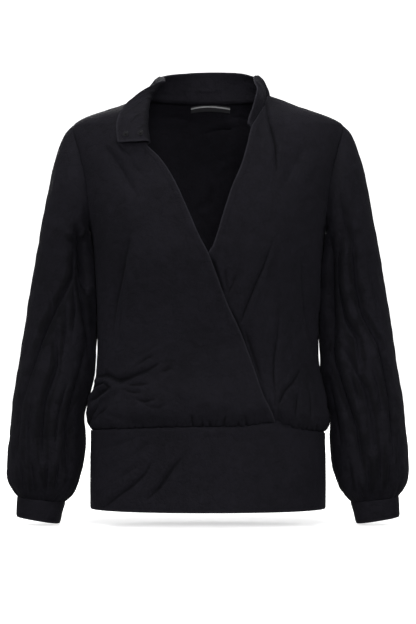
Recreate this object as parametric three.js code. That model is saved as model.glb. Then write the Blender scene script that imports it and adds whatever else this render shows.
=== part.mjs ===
// A wrap blouse in soft black jersey: two crossed fronts, a back, a stand collar whose one end is
// turned out, full sleeves gathered into cuffs, and a deep waistband. It keeps the hollow form of a wearer.
// Millimetres, +Z up, the front faces -Y, +X is the wearer's left.
// The origin is midway between the shoulders, at the base of the neck.

import * as THREE from 'three';

// Driving sizes

const CLOTH = 1.4; // single cloth of the body and sleeves
const DOUBLE_CLOTH = 2.0; // doubled cloth of the collar, cuffs and waistband
const SEAM_GAP = 0.35; // air left between two pieces at a seam
const LAP_AIR = 1.6; // air between the two fronts where they cross
const LAP_UNDER = { full: 12, none: 70 }; // distances past the right edge where the left front is still
// a whole lap below the body's outer surface, and where it has come up to it
const LAP_FOLDS = { shared: 2, own: 45 }; // distances where it takes the right front's folds, and its own

const NECK_Z = 2; // neck seam at the shoulder
const NECK_DIP = 3; // how far the neck seam dips at the centre of the back
const NECK_DIP_FROM = -40; // height where that dip begins
const SHOULDER_TIP_Z = -43;
const ARMPIT_Z = -205;
const HEM_Z = -635;

const SQUARENESS = 2.3; // exponent of the body's rounded sections
const ARMHOLE_FRONT = 24; // degrees that the armhole cuts into the front
const ARMHOLE_BACK = 26;

const ARMHOLE_STEPS = 10;
const FRONT_COLUMNS = 15;
const BACK_COLUMNS = 20;
const BAND_COLUMNS = 24;
const BAND_ROWS = 5;
const BAND_TOP_SECTION = -516; // above this the band keeps the body's section from here

// Outline of the body: half width at the side seams, depth of the front and of the back from them

const BODY = [
  { z: HEM_Z, side: 182.5, front: 114, back: 105 },
  { z: -560, side: 182.5, front: 114.5, back: 105 },
  { z: -530, side: 181.5, front: 114.5, back: 105 },
  { z: -516, side: 181.5, front: 115, back: 105.5 },
  { z: -510, side: 185, front: 117, back: 108.5 },
  { z: -503, side: 188, front: 119.5, back: 111 },
  { z: -492, side: 188.5, front: 122.5, back: 112 },
  { z: -478, side: 184.5, front: 124, back: 109 },
  { z: -455, side: 179, front: 122.5, back: 103 },
  { z: -425, side: 173.5, front: 118, back: 97 },
  { z: -390, side: 171.5, front: 117, back: 94 },
  { z: -340, side: 172, front: 122, back: 96 },
  { z: -280, side: 174, front: 131, back: 102 },
  { z: -235, side: 178, front: 136, back: 106 },
  { z: ARMPIT_Z, side: 183, front: 134, back: 108 },
  { z: -160, side: 196, front: 127, back: 107 },
  { z: -120, side: 205, front: 116, back: 103 },
  { z: -90, side: 210, front: 105, back: 99 },
  { z: -60, side: 212, front: 90, back: 93 },
  { z: SHOULDER_TIP_Z, side: 209, front: 79, back: 88.5 },
  { z: -37, side: 202, front: 74, back: 86.5 },
  { z: -31, side: 191, front: 69, back: 84 },
  { z: -25, side: 175, front: 63, back: 81.5 },
  { z: -19, side: 157, front: 56, back: 78 },
  { z: -12, side: 136, front: 47, back: 74 },
  { z: -6, side: 121, front: 39, back: 69 },
  { z: -2, side: 111, front: 34, back: 66 },
  { z: NECK_Z, side: 97, front: 28, back: 62 },
];

// Free edge of each front, seen from the front: the right one crosses over the left one

const RIGHT_EDGE = [
  { z: -520, x: 103 },
  { z: -494, x: 96 },
  { z: -456, x: 83 },
  { z: -429, x: 74 },
  { z: -359, x: 48 },
  { z: -317, x: 28.5 },
  { z: -242, x: 0 },
  { z: -219, x: -12 },
  { z: -174, x: -31.5 },
  { z: -128, x: -53 },
  { z: -98, x: -73 },
  { z: -86, x: -85 },
  { z: -78, x: -92 },
  { z: -50, x: -96 },
  { z: -20, x: -95 },
  { z: NECK_Z, x: -91 },
];

const LEFT_EDGE = [
  { z: -520, x: -103 },
  { z: -494, x: -96 },
  { z: -429, x: -74 },
  { z: -359, x: -48 },
  { z: -317, x: -28.5 },
  { z: -243, x: 0 },
  { z: -234, x: 6 },
  { z: -180, x: 23.5 },
  { z: -142, x: 36 },
  { z: -109, x: 50 },
  { z: -78, x: 59 },
  { z: -49, x: 66 },
  { z: -37, x: 73 },
  { z: -25, x: 80 },
  { z: -12, x: 87 },
  { z: NECK_Z, x: 91 },
];

// Height of the waist seam round the body: 0 is the centre of the front, 90 the wearer's left side

const WAIST_SEAM = [
  { turn: -180, z: -515 },
  { turn: -90, z: -513 },
  { turn: -45, z: -510 },
  { turn: -10, z: -505.5 },
  { turn: 10, z: -505.5 },
  { turn: 24, z: -500.5 },
  { turn: 31, z: -499 },
  { turn: 38, z: -506 },
  { turn: 50, z: -512 },
  { turn: 90, z: -517 },
  { turn: 180, z: -515 },
];

// Heights of the rows of the body panels below the armpit and above the shoulder tip

const LOWER_ROWS = [-515, -508, -497, -480, -455, -425, -390, -345, -300, -262, -230];
const SHOULDER_ROWS = [-34, -24, -14, -5, NECK_Z];
const SEAM_BLEND = 70; // height over which the rows straighten above the waist seam

// Folds of the two fronts, seen from the front: a soft trough (depth below 0) or ridge along a line

const RIGHT_FOLDS = [
  { x1: -150, z1: -70, x2: -108, z2: -150, width: 12, depth: -5 },
  { x1: -128, z1: -60, x2: -86, z2: -140, width: 14, depth: 4 },
  { x1: -128, z1: -235, x2: -150, z2: -385, width: 15, depth: -8 },
  { x1: -100, z1: -250, x2: -118, z2: -390, width: 20, depth: 4 },
  { x1: -176, z1: -452, x2: -140, z2: -432, width: 12, depth: 8 },
  { x1: -150, z1: -428, x2: -66, z2: -414, width: 9, depth: -7 },
  { x1: -140, z1: -446, x2: -84, z2: -452, width: 9, depth: -5 },
  { x1: -180, z1: -500, x2: -158, z2: -474, width: 10, depth: -8 },
  { x1: -130, z1: -478, x2: -60, z2: -482, width: 14, depth: 4 },
  { x1: 10, z1: -486, x2: 50, z2: -478, width: 14, depth: 3 },
];

const LEFT_FOLDS = [
  { x1: 92, z1: -20, x2: 105, z2: -105, width: 13, depth: -6 },
  { x1: 78, z1: -50, x2: 84, z2: -110, width: 14, depth: 3 },
  { x1: 104, z1: -228, x2: 56, z2: -350, width: 9, depth: -6 },
  { x1: 120, z1: -240, x2: 84, z2: -350, width: 18, depth: 4 },
  { x1: 152, z1: -250, x2: 148, z2: -385, width: 14, depth: -7 },
  { x1: 142, z1: -415, x2: 116, z2: -475, width: 9, depth: -6 },
  { x1: 104, z1: -415, x2: 104, z2: -475, width: 10, depth: -4 },
  { x1: 166, z1: -430, x2: 168, z2: -495, width: 9, depth: -4 },
  { x1: 140, z1: -470, x2: 134, z2: -500, width: 11, depth: 4 },
];

const BACK_FOLDS = [
  { x1: -110, z1: -190, x2: -95, z2: -400, width: 22, depth: -6 },
  { x1: 112, z1: -200, x2: 92, z2: -410, width: 22, depth: -6 },
  { x1: -30, z1: -330, x2: -40, z2: -490, width: 20, depth: -5 },
  { x1: 44, z1: -320, x2: 34, z2: -490, width: 20, depth: -5 },
  { x1: 0, z1: -340, x2: 0, z2: -480, width: 18, depth: 4 },
  { x1: -150, z1: -440, x2: -80, z2: -415, width: 14, depth: -5 },
  { x1: 150, z1: -445, x2: 86, z2: -425, width: 14, depth: -5 },
];

const BAND_FOLDS = [
  { x1: -156, z1: -622, x2: -80, z2: -560, width: 9, depth: -3 },
  { x1: -88, z1: -606, x2: -34, z2: -545, width: 9, depth: -2.5 },
  { x1: -70, z1: -616, x2: -20, z2: -562, width: 12, depth: 2 },
];

// Sections of a sleeve, from the armhole to the cuff, for the wearer's left arm.
// outer and inner are the two ends of the section in the front view, depth is half its size
// from front to back, and y is where its middle lies.

const SLEEVE = [
  { outerX: 209, outerZ: -43, innerX: 183, innerZ: -205, depth: 52, y: 0 },
  { outerX: 221, outerZ: -56, innerX: 185.2, innerZ: -206.5, depth: 56, y: 1 },
  { outerX: 231, outerZ: -80, innerX: 186.4, innerZ: -209, depth: 59, y: 2 },
  { outerX: 240, outerZ: -110, innerX: 187, innerZ: -213, depth: 60, y: 4 },
  { outerX: 248, outerZ: -150, innerX: 182, innerZ: -220, depth: 60, y: 6 },
  { outerX: 257, outerZ: -198, innerX: 176, innerZ: -234, depth: 59, y: 8 },
  { outerX: 266, outerZ: -248, innerX: 171, innerZ: -262, depth: 57, y: 10 },
  { outerX: 273.5, outerZ: -290, innerX: 168, innerZ: -300, depth: 56, y: 12 },
  { outerX: 280.5, outerZ: -333, innerX: 170, innerZ: -343, depth: 56, y: 14 },
  { outerX: 287.5, outerZ: -378, innerX: 176.5, innerZ: -388, depth: 57, y: 14 },
  { outerX: 293.5, outerZ: -418, innerX: 180.5, innerZ: -428, depth: 58, y: 14 },
  { outerX: 299, outerZ: -452, innerX: 187, innerZ: -462, depth: 59, y: 14 },
  { outerX: 303.5, outerZ: -484, innerX: 194.5, innerZ: -494, depth: 60, y: 14 },
  { outerX: 307, outerZ: -517, innerX: 192, innerZ: -527, depth: 60, y: 13 },
  { outerX: 310, outerZ: -548, innerX: 193, innerZ: -557, depth: 59, y: 12 },
  { outerX: 311, outerZ: -574, innerX: 198, innerZ: -584, depth: 56, y: 11 },
  { outerX: 309, outerZ: -592, innerX: 204, innerZ: -602, depth: 52, y: 10 },
  { outerX: 303, outerZ: -606, innerX: 212, innerZ: -615, depth: 45, y: 10 },
  { outerX: 295, outerZ: -616.5, innerX: 222.5, innerZ: -625, depth: 36, y: 10 },
];
const COARSE_RINGS = 12; // rings above this one have half as many points round them
const ARMHOLE_FADE = 5; // rings over which the armhole's own outline fades into the sleeve's sections
const SLEEVE_ROUNDNESS = 2 / 2.5; // a sleeve's section is a little squarer than an oval
const SLEEVE_AIR = 2; // least air between a sleeve and the side of the body that it hangs against
const SLEEVE_AIR_BLEND = 12; // height below the armpit over which that air comes in

const CUFF = [
  { outerX: 294.6, outerZ: -617.4, innerX: 222.9, innerZ: -625.9, depth: 35, y: 10 },
  { outerX: 295.4, outerZ: -628, innerX: 226, innerZ: -637, depth: 33.5, y: 10 },
  { outerX: 296.2, outerZ: -648, innerX: 231.4, innerZ: -659, depth: 32, y: 10 },
];
const CUFF_COLUMNS = 28;

// Long folds of a sleeve: turn is the angle round it, 0 at the outer edge and 90 at the front

const SLEEVE_FOLDS = [
  { turn: 38, from: 4, to: 16, drift: 4, width: 11, depth: -5 },
  { turn: 66, from: 8, to: 17, drift: -8, width: 10, depth: -5 },
  { turn: 92, from: 6, to: 17, drift: 8, width: 11, depth: -6 },
  { turn: 122, from: 3, to: 16, drift: 4, width: 12, depth: -7 },
  { turn: 152, from: 5, to: 15, drift: -4, width: 12, depth: -4 },
  { turn: 212, from: 6, to: 17, drift: 6, width: 12, depth: -4 },
  { turn: 248, from: 4, to: 16, drift: -8, width: 12, depth: -6 },
  { turn: 284, from: 7, to: 17, drift: 8, width: 12, depth: -5 },
  { turn: 322, from: 5, to: 16, drift: -4, width: 12, depth: -5 },
];
const FOLD_FADE = { in: 0.3, out: 0.85 }; // shares of a fold's length over which it comes in and goes out
const GATHERS = 10; // gather waves round the end of a sleeve
const GATHER_DEPTH = 1.5;
const GATHER_FROM = 13; // ring where they begin

// Collar: along is the share of the neck seam from the wearer's left end to the right one.
// base and tip are the angles in degrees between the cloth and the body's surface at the seam
// and at the free edge: 0 lies on in the body's direction, 90 stands up, 180 lies turned back.
// crease is the share of the height at which the cloth folds over outwards, and above 1 it doesn't.

const COLLAR = [
  { along: 0, height: 6, base: 30, tip: 26, crease: 1.3 },
  { along: 0.05, height: 16, base: 64, tip: 56, crease: 1.3 },
  { along: 0.1, height: 29, base: 80, tip: 52, crease: 1.3 },
  { along: 0.16, height: 37, base: 78, tip: 18, crease: 1.3 },
  { along: 0.22, height: 40, base: 68, tip: 10, crease: 1.3 },
  { along: 0.46, height: 46, base: 52, tip: 30, crease: 1.3 },
  { along: 0.68, height: 40, base: 66, tip: 14, crease: 1.3 },
  { along: 0.755, height: 39, base: 66, tip: 8, crease: 1.2 },
  { along: 0.78, height: 38, base: 60, tip: 14, crease: 1.02 },
  { along: 0.8, height: 38, base: 56, tip: 26, crease: 0.72 },
  { along: 0.82, height: 40, base: 56, tip: 38, crease: 0.42 },
  { along: 0.845, height: 45, base: 56, tip: 46, crease: 0.25 },
  { along: 0.88, height: 51, base: 56, tip: 50, crease: 0.19 },
  { along: 0.93, height: 57, base: 54, tip: 50, crease: 0.17 },
  { along: 1, height: 59, base: 54, tip: 50, crease: 0.17 },
];
const CREASE_TURN = 134; // degrees turned at the crease
const CREASE_WIDTH = 0.22; // share of the height that the crease takes
const TURNED_AIR = 1.2; // least air between the turned-out end and the front it lies on
const COLLAR_LEFT_END = -49; // height where each end of the collar stops on the front edges
const COLLAR_RIGHT_END = -77.5;
const COLLAR_STEPS = 10; // steps across the collar's height
const COLLAR_STRIPS = { left: 6, round: 22, right: 14 }; // strips along the edges and round the neck
const LEVEL_FROM = 0.82; // from here on the turned-out end runs more and more level
const LEVEL_TO = 0.94;

const LABEL = { x: 4, top: -1.5, width: 62, height: 10, droop: 4, thickness: 1, air: 0.9, columns: 8, rows: 2 };
const STUD = { radius: 4.6, height: 1.2, ballRadius: 1.7, ballHeight: 1.1, sides: 12 };
const STUDS = [
  { name: 'press_stud_outer', across: 0.74 },
  { name: 'press_stud_inner', across: 0.34 },
];
const STUD_ALONG = 0.975; // share of the neck seam at which both studs lie

// Materials

const JERSEY = new THREE.MeshStandardMaterial({ color: 0x17171b, roughness: 0.82, metalness: 0 });
const FIRM_JERSEY = new THREE.MeshStandardMaterial({ color: 0x18181c, roughness: 0.78, metalness: 0 });
const RIBBON = new THREE.MeshStandardMaterial({ color: 0x1c1c20, roughness: 0.45, metalness: 0 });
const LACQUER = new THREE.MeshStandardMaterial({ color: 0x0e0e10, roughness: 0.35, metalness: 0.6 });

// Small maths

const rad = THREE.MathUtils.degToRad;
const lerp = THREE.MathUtils.lerp;
const smoothstep = THREE.MathUtils.smoothstep;
const signedPower = (value, power) => Math.sign(value) * Math.abs(value) ** power;

// A smooth curve through one column of a table against another, with no overshoot between its rows.
function tableCurve(table, input, output) {
  const rows = [...table].sort((a, b) => a[input] - b[input]);
  const xs = rows.map((row) => row[input]);
  const ys = rows.map((row) => row[output]);
  const last = xs.length - 1;
  const slopes = xs.slice(0, last).map((x, i) => (ys[i + 1] - ys[i]) / (xs[i + 1] - x));
  const tangents = xs.map((_, i) => {
    if (i === 0) return slopes[0];
    if (i === last) return slopes[last - 1];
    const product = slopes[i - 1] * slopes[i];
    return product <= 0 ? 0 : (2 * product) / (slopes[i - 1] + slopes[i]);
  });
  return (at) => {
    const x = Math.min(Math.max(at, xs[0]), xs[last]);
    let i = 0;
    while (i < last - 1 && x > xs[i + 1]) i += 1;
    const width = xs[i + 1] - xs[i];
    const t = (x - xs[i]) / width;
    const h = t * t * (3 - 2 * t);
    return ys[i] * (1 - h) + ys[i + 1] * h
      + width * (tangents[i] * t * (1 - t) ** 2 - tangents[i + 1] * t * t * (1 - t));
  };
}

// Sum of soft troughs and ridges at a place in the front view: each falls off as a bell across its line.
function foldHeight(folds, x, z) {
  let sum = 0;
  for (const fold of folds) {
    const dx = fold.x2 - fold.x1;
    const dz = fold.z2 - fold.z1;
    const along = ((x - fold.x1) * dx + (z - fold.z1) * dz) / (dx * dx + dz * dz);
    const held = Math.min(Math.max(along, 0), 1);
    const off = Math.hypot(x - fold.x1 - held * dx, z - fold.z1 - held * dz);
    sum += fold.depth * Math.exp(-((off / fold.width) ** 2));
  }
  return sum;
}

// Body surface

const sideAt = tableCurve(BODY, 'z', 'side');
const frontAt = tableCurve(BODY, 'z', 'front');
const backAt = tableCurve(BODY, 'z', 'back');
const rightEdgeAt = tableCurve(RIGHT_EDGE, 'z', 'x');
const leftEdgeAt = tableCurve(LEFT_EDGE, 'z', 'x');
const waistSeamAt = tableCurve(WAIST_SEAM, 'turn', 'z');
const ROUNDNESS = 2 / SQUARENESS;

// Point of the plain body at an angle round it, in degrees from the centre of the front.
function bodyPoint(turn, z) {
  const across = Math.sin(rad(turn));
  const ahead = Math.cos(rad(turn));
  const depth = ahead > 0 ? frontAt(z) : backAt(z);
  const dip = ahead < 0 ? NECK_DIP * ahead * ahead * smoothstep(z, NECK_DIP_FROM, NECK_Z) : 0;
  return new THREE.Vector3(
    sideAt(z) * signedPower(across, ROUNDNESS),
    -depth * signedPower(ahead, ROUNDNESS),
    z - dip,
  );
}

function bodyNormal(turn, z) {
  const step = 0.5;
  const round = bodyPoint(turn + step, z).sub(bodyPoint(turn - step, z));
  const low = Math.min(z, NECK_Z - step);
  const up = bodyPoint(turn, low + step).sub(bodyPoint(turn, low - step));
  return round.cross(up).normalize();
}

// Angle round the body at which its surface is x to the side of the middle.
function turnAt(x, z) {
  const share = Math.min(Math.abs(x) / sideAt(z), 1);
  return Math.sign(x) * THREE.MathUtils.radToDeg(Math.asin(share ** (1 / ROUNDNESS)));
}

// How far a panel's outer face stands from the plain body.
const panels = {
  front_right: { height: (x, z) => foldHeight(RIGHT_FOLDS, x, z) },
  front_left: {
    height: (x, z) => {
      const past = x - rightEdgeAt(z); // below 0 this front is covered by the right one
      const own = smoothstep(past, LAP_FOLDS.shared, LAP_FOLDS.own);
      const under = 1 - smoothstep(past, LAP_UNDER.full, LAP_UNDER.none);
      return lerp(foldHeight(RIGHT_FOLDS, x, z), foldHeight(LEFT_FOLDS, x, z), own)
        - under * (CLOTH + LAP_AIR);
    },
  },
  back: { height: (x, z) => foldHeight(BACK_FOLDS, x, z) },
  band: { height: (x, z, y) => (y < 0 ? foldHeight(BAND_FOLDS, x, z) : 0) },
};

// Point of a panel at height z, on the body's oval of another height where one is given.
function panelPoint(panel, turn, z, thickness = 0, sectionZ = z) {
  const base = bodyPoint(turn, sectionZ);
  base.z += z - sectionZ;
  const height = panels[panel].height(base.x, base.z, base.y);
  return base.addScaledVector(bodyNormal(turn, sectionZ), height - thickness);
}

// Walls

// A closed wall from a grid of outer points and a grid of inner points. grid[row][column]; with
// closed set, the last column joins the first. Outer faces point away from the inner grid.
function wallGeometry(outer, inner, closed) {
  const rows = outer.length;
  const columns = outer[0].length;
  const positions = [];
  for (const grid of [outer, inner]) {
    for (const row of grid) for (const point of row) positions.push(point.x, point.y, point.z);
  }
  const indices = [];
  const quad = (a, b, c, d) => indices.push(a, b, c, a, c, d);
  const out = (row, column) => row * columns + (column % columns);
  const inn = (row, column) => rows * columns + out(row, column);
  const spans = closed ? columns : columns - 1;
  for (let i = 0; i < rows - 1; i += 1) {
    for (let j = 0; j < spans; j += 1) {
      quad(out(i, j), out(i, j + 1), out(i + 1, j + 1), out(i + 1, j));
      quad(inn(i, j), inn(i + 1, j), inn(i + 1, j + 1), inn(i, j + 1));
    }
  }
  for (let j = 0; j < spans; j += 1) {
    quad(out(0, j), inn(0, j), inn(0, j + 1), out(0, j + 1));
    quad(out(rows - 1, j), out(rows - 1, j + 1), inn(rows - 1, j + 1), inn(rows - 1, j));
  }
  if (!closed) {
    const end = columns - 1;
    for (let i = 0; i < rows - 1; i += 1) {
      quad(out(i, 0), out(i + 1, 0), inn(i + 1, 0), inn(i, 0));
      quad(out(i, end), inn(i, end), inn(i + 1, end), out(i + 1, end));
    }
  }
  const geometry = new THREE.BufferGeometry();
  geometry.setAttribute('position', new THREE.Float32BufferAttribute(positions, 3));
  geometry.setIndex(indices);
  return facingOut(geometry);
}

// Turns every face round if the solid's signed volume is negative.
function facingOut(geometry) {
  const p = geometry.getAttribute('position');
  const index = geometry.getIndex();
  const [a, b, c] = [new THREE.Vector3(), new THREE.Vector3(), new THREE.Vector3()];
  let volume = 0;
  for (let i = 0; i < index.count; i += 3) {
    a.fromBufferAttribute(p, index.getX(i));
    b.fromBufferAttribute(p, index.getX(i + 1));
    c.fromBufferAttribute(p, index.getX(i + 2));
    volume += a.dot(b.cross(c));
  }
  if (volume < 0) {
    for (let i = 0; i < index.count; i += 3) {
      const first = index.getX(i);
      index.setX(i, index.getX(i + 2));
      index.setX(i + 2, first);
    }
  }
  geometry.computeVertexNormals();
  return geometry;
}

// Normals of a grid of points, from the neighbours of each one.
function gridNormals(grid, closed, flip) {
  const rows = grid.length;
  return grid.map((row, i) => row.map((_, j) => {
    const columns = row.length;
    const before = closed ? (j + columns - 1) % columns : Math.max(j - 1, 0);
    const after = closed ? (j + 1) % columns : Math.min(j + 1, columns - 1);
    const round = row[after].clone().sub(row[before]);
    const share = j / columns;
    const onRow = (k) => {
      const other = grid[Math.min(Math.max(k, 0), rows - 1)];
      const at = share * other.length;
      const low = Math.floor(at) % other.length;
      return other[low].clone().lerp(other[(low + 1) % other.length], closed ? at - Math.floor(at) : 0);
    };
    const down = onRow(i + 1).sub(onRow(i - 1));
    return round.cross(down).normalize().multiplyScalar(flip);
  }));
}

function movedInward(grid, normals, thickness) {
  return grid.map((row, i) => row.map((point, j) => (
    point.clone().addScaledVector(normals[i][j], -thickness)
  )));
}

const parts = [];

function addPart(name, geometry, material) {
  const mesh = new THREE.Mesh(geometry, material);
  mesh.name = name;
  parts.push(mesh);
}

// Rows shared by the fronts and the back, so that their seams run through the same points

const armholeMiddle = (SHOULDER_TIP_Z + ARMPIT_Z) / 2;
const armholeReach = (SHOULDER_TIP_Z - ARMPIT_Z) / 2;
const armholeRows = Array.from({ length: ARMHOLE_STEPS + 1 }, (_, i) => {
  const sweep = Math.PI * (1 - i / ARMHOLE_STEPS);
  return { z: armholeMiddle + armholeReach * Math.cos(sweep), open: Math.sin(sweep) };
});
const bodyRows = [
  ...LOWER_ROWS.map((z) => ({ z, open: 0 })),
  ...armholeRows,
  ...SHOULDER_ROWS.map((z) => ({ z, open: 0 })),
];
const WAIST_ROW_Z = LOWER_ROWS[0];

// Height of a row at an angle: the lowest row follows the waist seam, and those above it straighten.
// The body's oval stays that of the row itself, so the lowest row meets the band all round.
function rowHeight(row, turn) {
  const wrapped = THREE.MathUtils.euclideanModulo(turn + 180, 360) - 180;
  const seam = waistSeamAt(wrapped) + SEAM_GAP - WAIST_ROW_Z;
  return row.z + seam * (1 - smoothstep(row.z, WAIST_ROW_Z, WAIST_ROW_Z + SEAM_BLEND));
}

// Grid of a body panel between two angles that each row gives.
function panelGrid(panel, columns, startAt, endAt, thickness, seams) {
  return bodyRows.map((row) => Array.from({ length: columns + 1 }, (_, j) => {
    const turn = lerp(startAt(row), endAt(row), j / columns);
    const point = panelPoint(panel, turn, rowHeight(row, turn), thickness, row.z);
    if (j === 0) point.y += seams.start * SEAM_GAP / 2;
    if (j === columns) point.y += seams.end * SEAM_GAP / 2;
    return point;
  }));
}

function addPanel(name, panel, columns, startAt, endAt, seams) {
  const outer = panelGrid(panel, columns, startAt, endAt, 0, seams);
  const inner = panelGrid(panel, columns, startAt, endAt, CLOTH, seams);
  addPart(name, wallGeometry(outer, inner, false), JERSEY);
  return outer;
}

const frontSide = (row) => 90 - ARMHOLE_FRONT * row.open;
const backSide = (row) => 90 + ARMHOLE_BACK * row.open;
const rightEdgeTurn = (row) => turnAt(rightEdgeAt(row.z), row.z);
const leftEdgeTurn = (row) => turnAt(leftEdgeAt(row.z), row.z);

const backGrid = addPanel('back', 'back', BACK_COLUMNS, backSide, (row) => 360 - backSide(row),
  { start: 1, end: 1 });
addPanel('front_right', 'front_right', FRONT_COLUMNS, (row) => -frontSide(row), rightEdgeTurn,
  { start: -1, end: 0 });
const leftGrid = addPanel('front_left', 'front_left', FRONT_COLUMNS, leftEdgeTurn, frontSide,
  { start: 0, end: -1 });

// Waistband: two doubled pieces that meet at the side seams

function addBand(name, startTurn, endTurn, seamShift) {
  const grid = (thickness) => Array.from({ length: BAND_ROWS + 1 }, (_, i) => (
    Array.from({ length: BAND_COLUMNS + 1 }, (__, j) => {
      const turn = lerp(startTurn, endTurn, j / BAND_COLUMNS);
      const wrapped = THREE.MathUtils.euclideanModulo(turn + 180, 360) - 180;
      const z = lerp(HEM_Z, waistSeamAt(wrapped) - SEAM_GAP / 2, i / BAND_ROWS);
      const point = bandPoint(turn, z, thickness);
      if (j === 0 || j === BAND_COLUMNS) point.y += seamShift * SEAM_GAP / 2;
      return point;
    })
  ));
  addPart(name, wallGeometry(grid(0), grid(DOUBLE_CLOTH), false), FIRM_JERSEY);
}

// The band keeps its own straight side, while the body above it swells out over the seam.
function bandPoint(turn, z, thickness) {
  const section = Math.min(z, BAND_TOP_SECTION);
  const base = bodyPoint(turn, section);
  const normal = bodyNormal(turn, section).setZ(0).normalize();
  base.z = z;
  return base.addScaledVector(normal, panels.band.height(base.x, z, base.y) - thickness);
}

addBand('waistband_front', -90, 90, -1);
addBand('waistband_back', 90, 270, 1);

// Sleeves and cuffs

const sleeveColumn = (column) => {
  const rows = SLEEVE.map((row, ring) => ({ ring, value: row[column] }));
  return tableCurve(rows, 'ring', 'value');
};
const sleeveAt = Object.fromEntries(
  ['outerX', 'outerZ', 'innerX', 'innerZ', 'depth', 'y'].map((name) => [name, sleeveColumn(name)]),
);

// Point of a plain section at an angle: 0 is its outer end, 90 the front, 180 the inner end.
function sectionPoint(section, turn) {
  const share = (1 + signedPower(Math.cos(rad(turn)), SLEEVE_ROUNDNESS)) / 2;
  return new THREE.Vector3(
    lerp(section.innerX, section.outerX, share),
    section.y - section.depth * signedPower(Math.sin(rad(turn)), SLEEVE_ROUNDNESS),
    lerp(section.innerZ, section.outerZ, share),
  );
}

// Moves a point of the left sleeve out until it clears the side of the body.
function moveClearOfBody(point) {
  const z = THREE.MathUtils.clamp(point.z, WAIST_ROW_Z, ARMPIT_Z);
  const depth = point.y < 0 ? frontAt(z) : backAt(z);
  const share = Math.max(1 - Math.abs(point.y / depth) ** (2 / ROUNDNESS), 0);
  const nearest = sideAt(z) * share ** (ROUNDNESS / 2) + SLEEVE_AIR;
  const below = smoothstep(ARMPIT_Z - point.z, 0, SLEEVE_AIR_BLEND);
  point.x += Math.max(nearest - point.x, 0) * below;
  return point;
}

const sleeveSection = (ring) => (
  Object.fromEntries(Object.entries(sleeveAt).map(([name, curve]) => [name, curve(ring)]))
);

// How far the sleeve's folds and gathers move its surface out from the plain section.
function sleeveFold(ring, turn) {
  let sum = 0;
  for (const fold of SLEEVE_FOLDS) {
    const along = (ring - fold.from) / (fold.to - fold.from);
    const present = smoothstep(along, 0, FOLD_FADE.in) * (1 - smoothstep(along, FOLD_FADE.out, 1));
    const off = THREE.MathUtils.euclideanModulo(turn - fold.turn - fold.drift * along + 180, 360) - 180;
    sum += fold.depth * present * Math.exp(-((off / fold.width) ** 2));
  }
  const gathered = smoothstep(ring, GATHER_FROM, SLEEVE.length - 1);
  return sum + GATHER_DEPTH * gathered * Math.cos(rad(turn * GATHERS));
}

// The armhole's seam points, from the shoulder tip down the front and up the back, with the
// direction in which the seam's gap opens at each.
function armholeSeam() {
  const first = LOWER_ROWS.length;
  const middle = new THREE.Vector3(sideAt(armholeMiddle), 0, armholeMiddle);
  const seam = [];
  for (let i = 0; i < 2 * ARMHOLE_STEPS; i += 1) {
    const onFront = i <= ARMHOLE_STEPS;
    const step = onFront ? ARMHOLE_STEPS - i : i - ARMHOLE_STEPS;
    const row = bodyRows[first + step];
    const turn = onFront ? frontSide(row) : backSide(row);
    const point = onFront ? leftGrid[first + step].at(-1).clone() : backGrid[first + step][0].clone();
    const normal = bodyNormal(turn, row.z);
    const inwards = middle.clone().sub(point);
    inwards.addScaledVector(normal, -inwards.dot(normal)).normalize();
    const low = (1 - Math.cos(rad((360 * i) / (2 * ARMHOLE_STEPS)))) / 2; // 1 at the armpit
    point.addScaledVector(inwards, SEAM_GAP).addScaledVector(normal, SEAM_GAP * low);
    if (i === 0 || i === ARMHOLE_STEPS) point.y = 0;
    seam.push(point);
  }
  return seam;
}

const seamPoints = armholeSeam();

function sleeveGrid() {
  return SLEEVE.map((_, ring) => {
    const section = sleeveSection(ring);
    const columns = ring < COARSE_RINGS ? 2 * ARMHOLE_STEPS : 4 * ARMHOLE_STEPS;
    const fade = 1 - smoothstep(ring, 0, ARMHOLE_FADE);
    return Array.from({ length: columns }, (__, j) => {
      const turn = (360 * j) / columns;
      const point = sectionPoint(section, turn);
      const outward = point.clone().sub(sectionPoint(section, 0).lerp(sectionPoint(section, 180), 0.5));
      point.addScaledVector(outward.normalize(), sleeveFold(ring, turn));
      if (ring < ARMHOLE_FADE) {
        const change = seamPoints[j].clone().sub(sectionPoint(SLEEVE[0], turn));
        point.addScaledVector(change, fade);
      }
      return moveClearOfBody(point);
    });
  });
}

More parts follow.
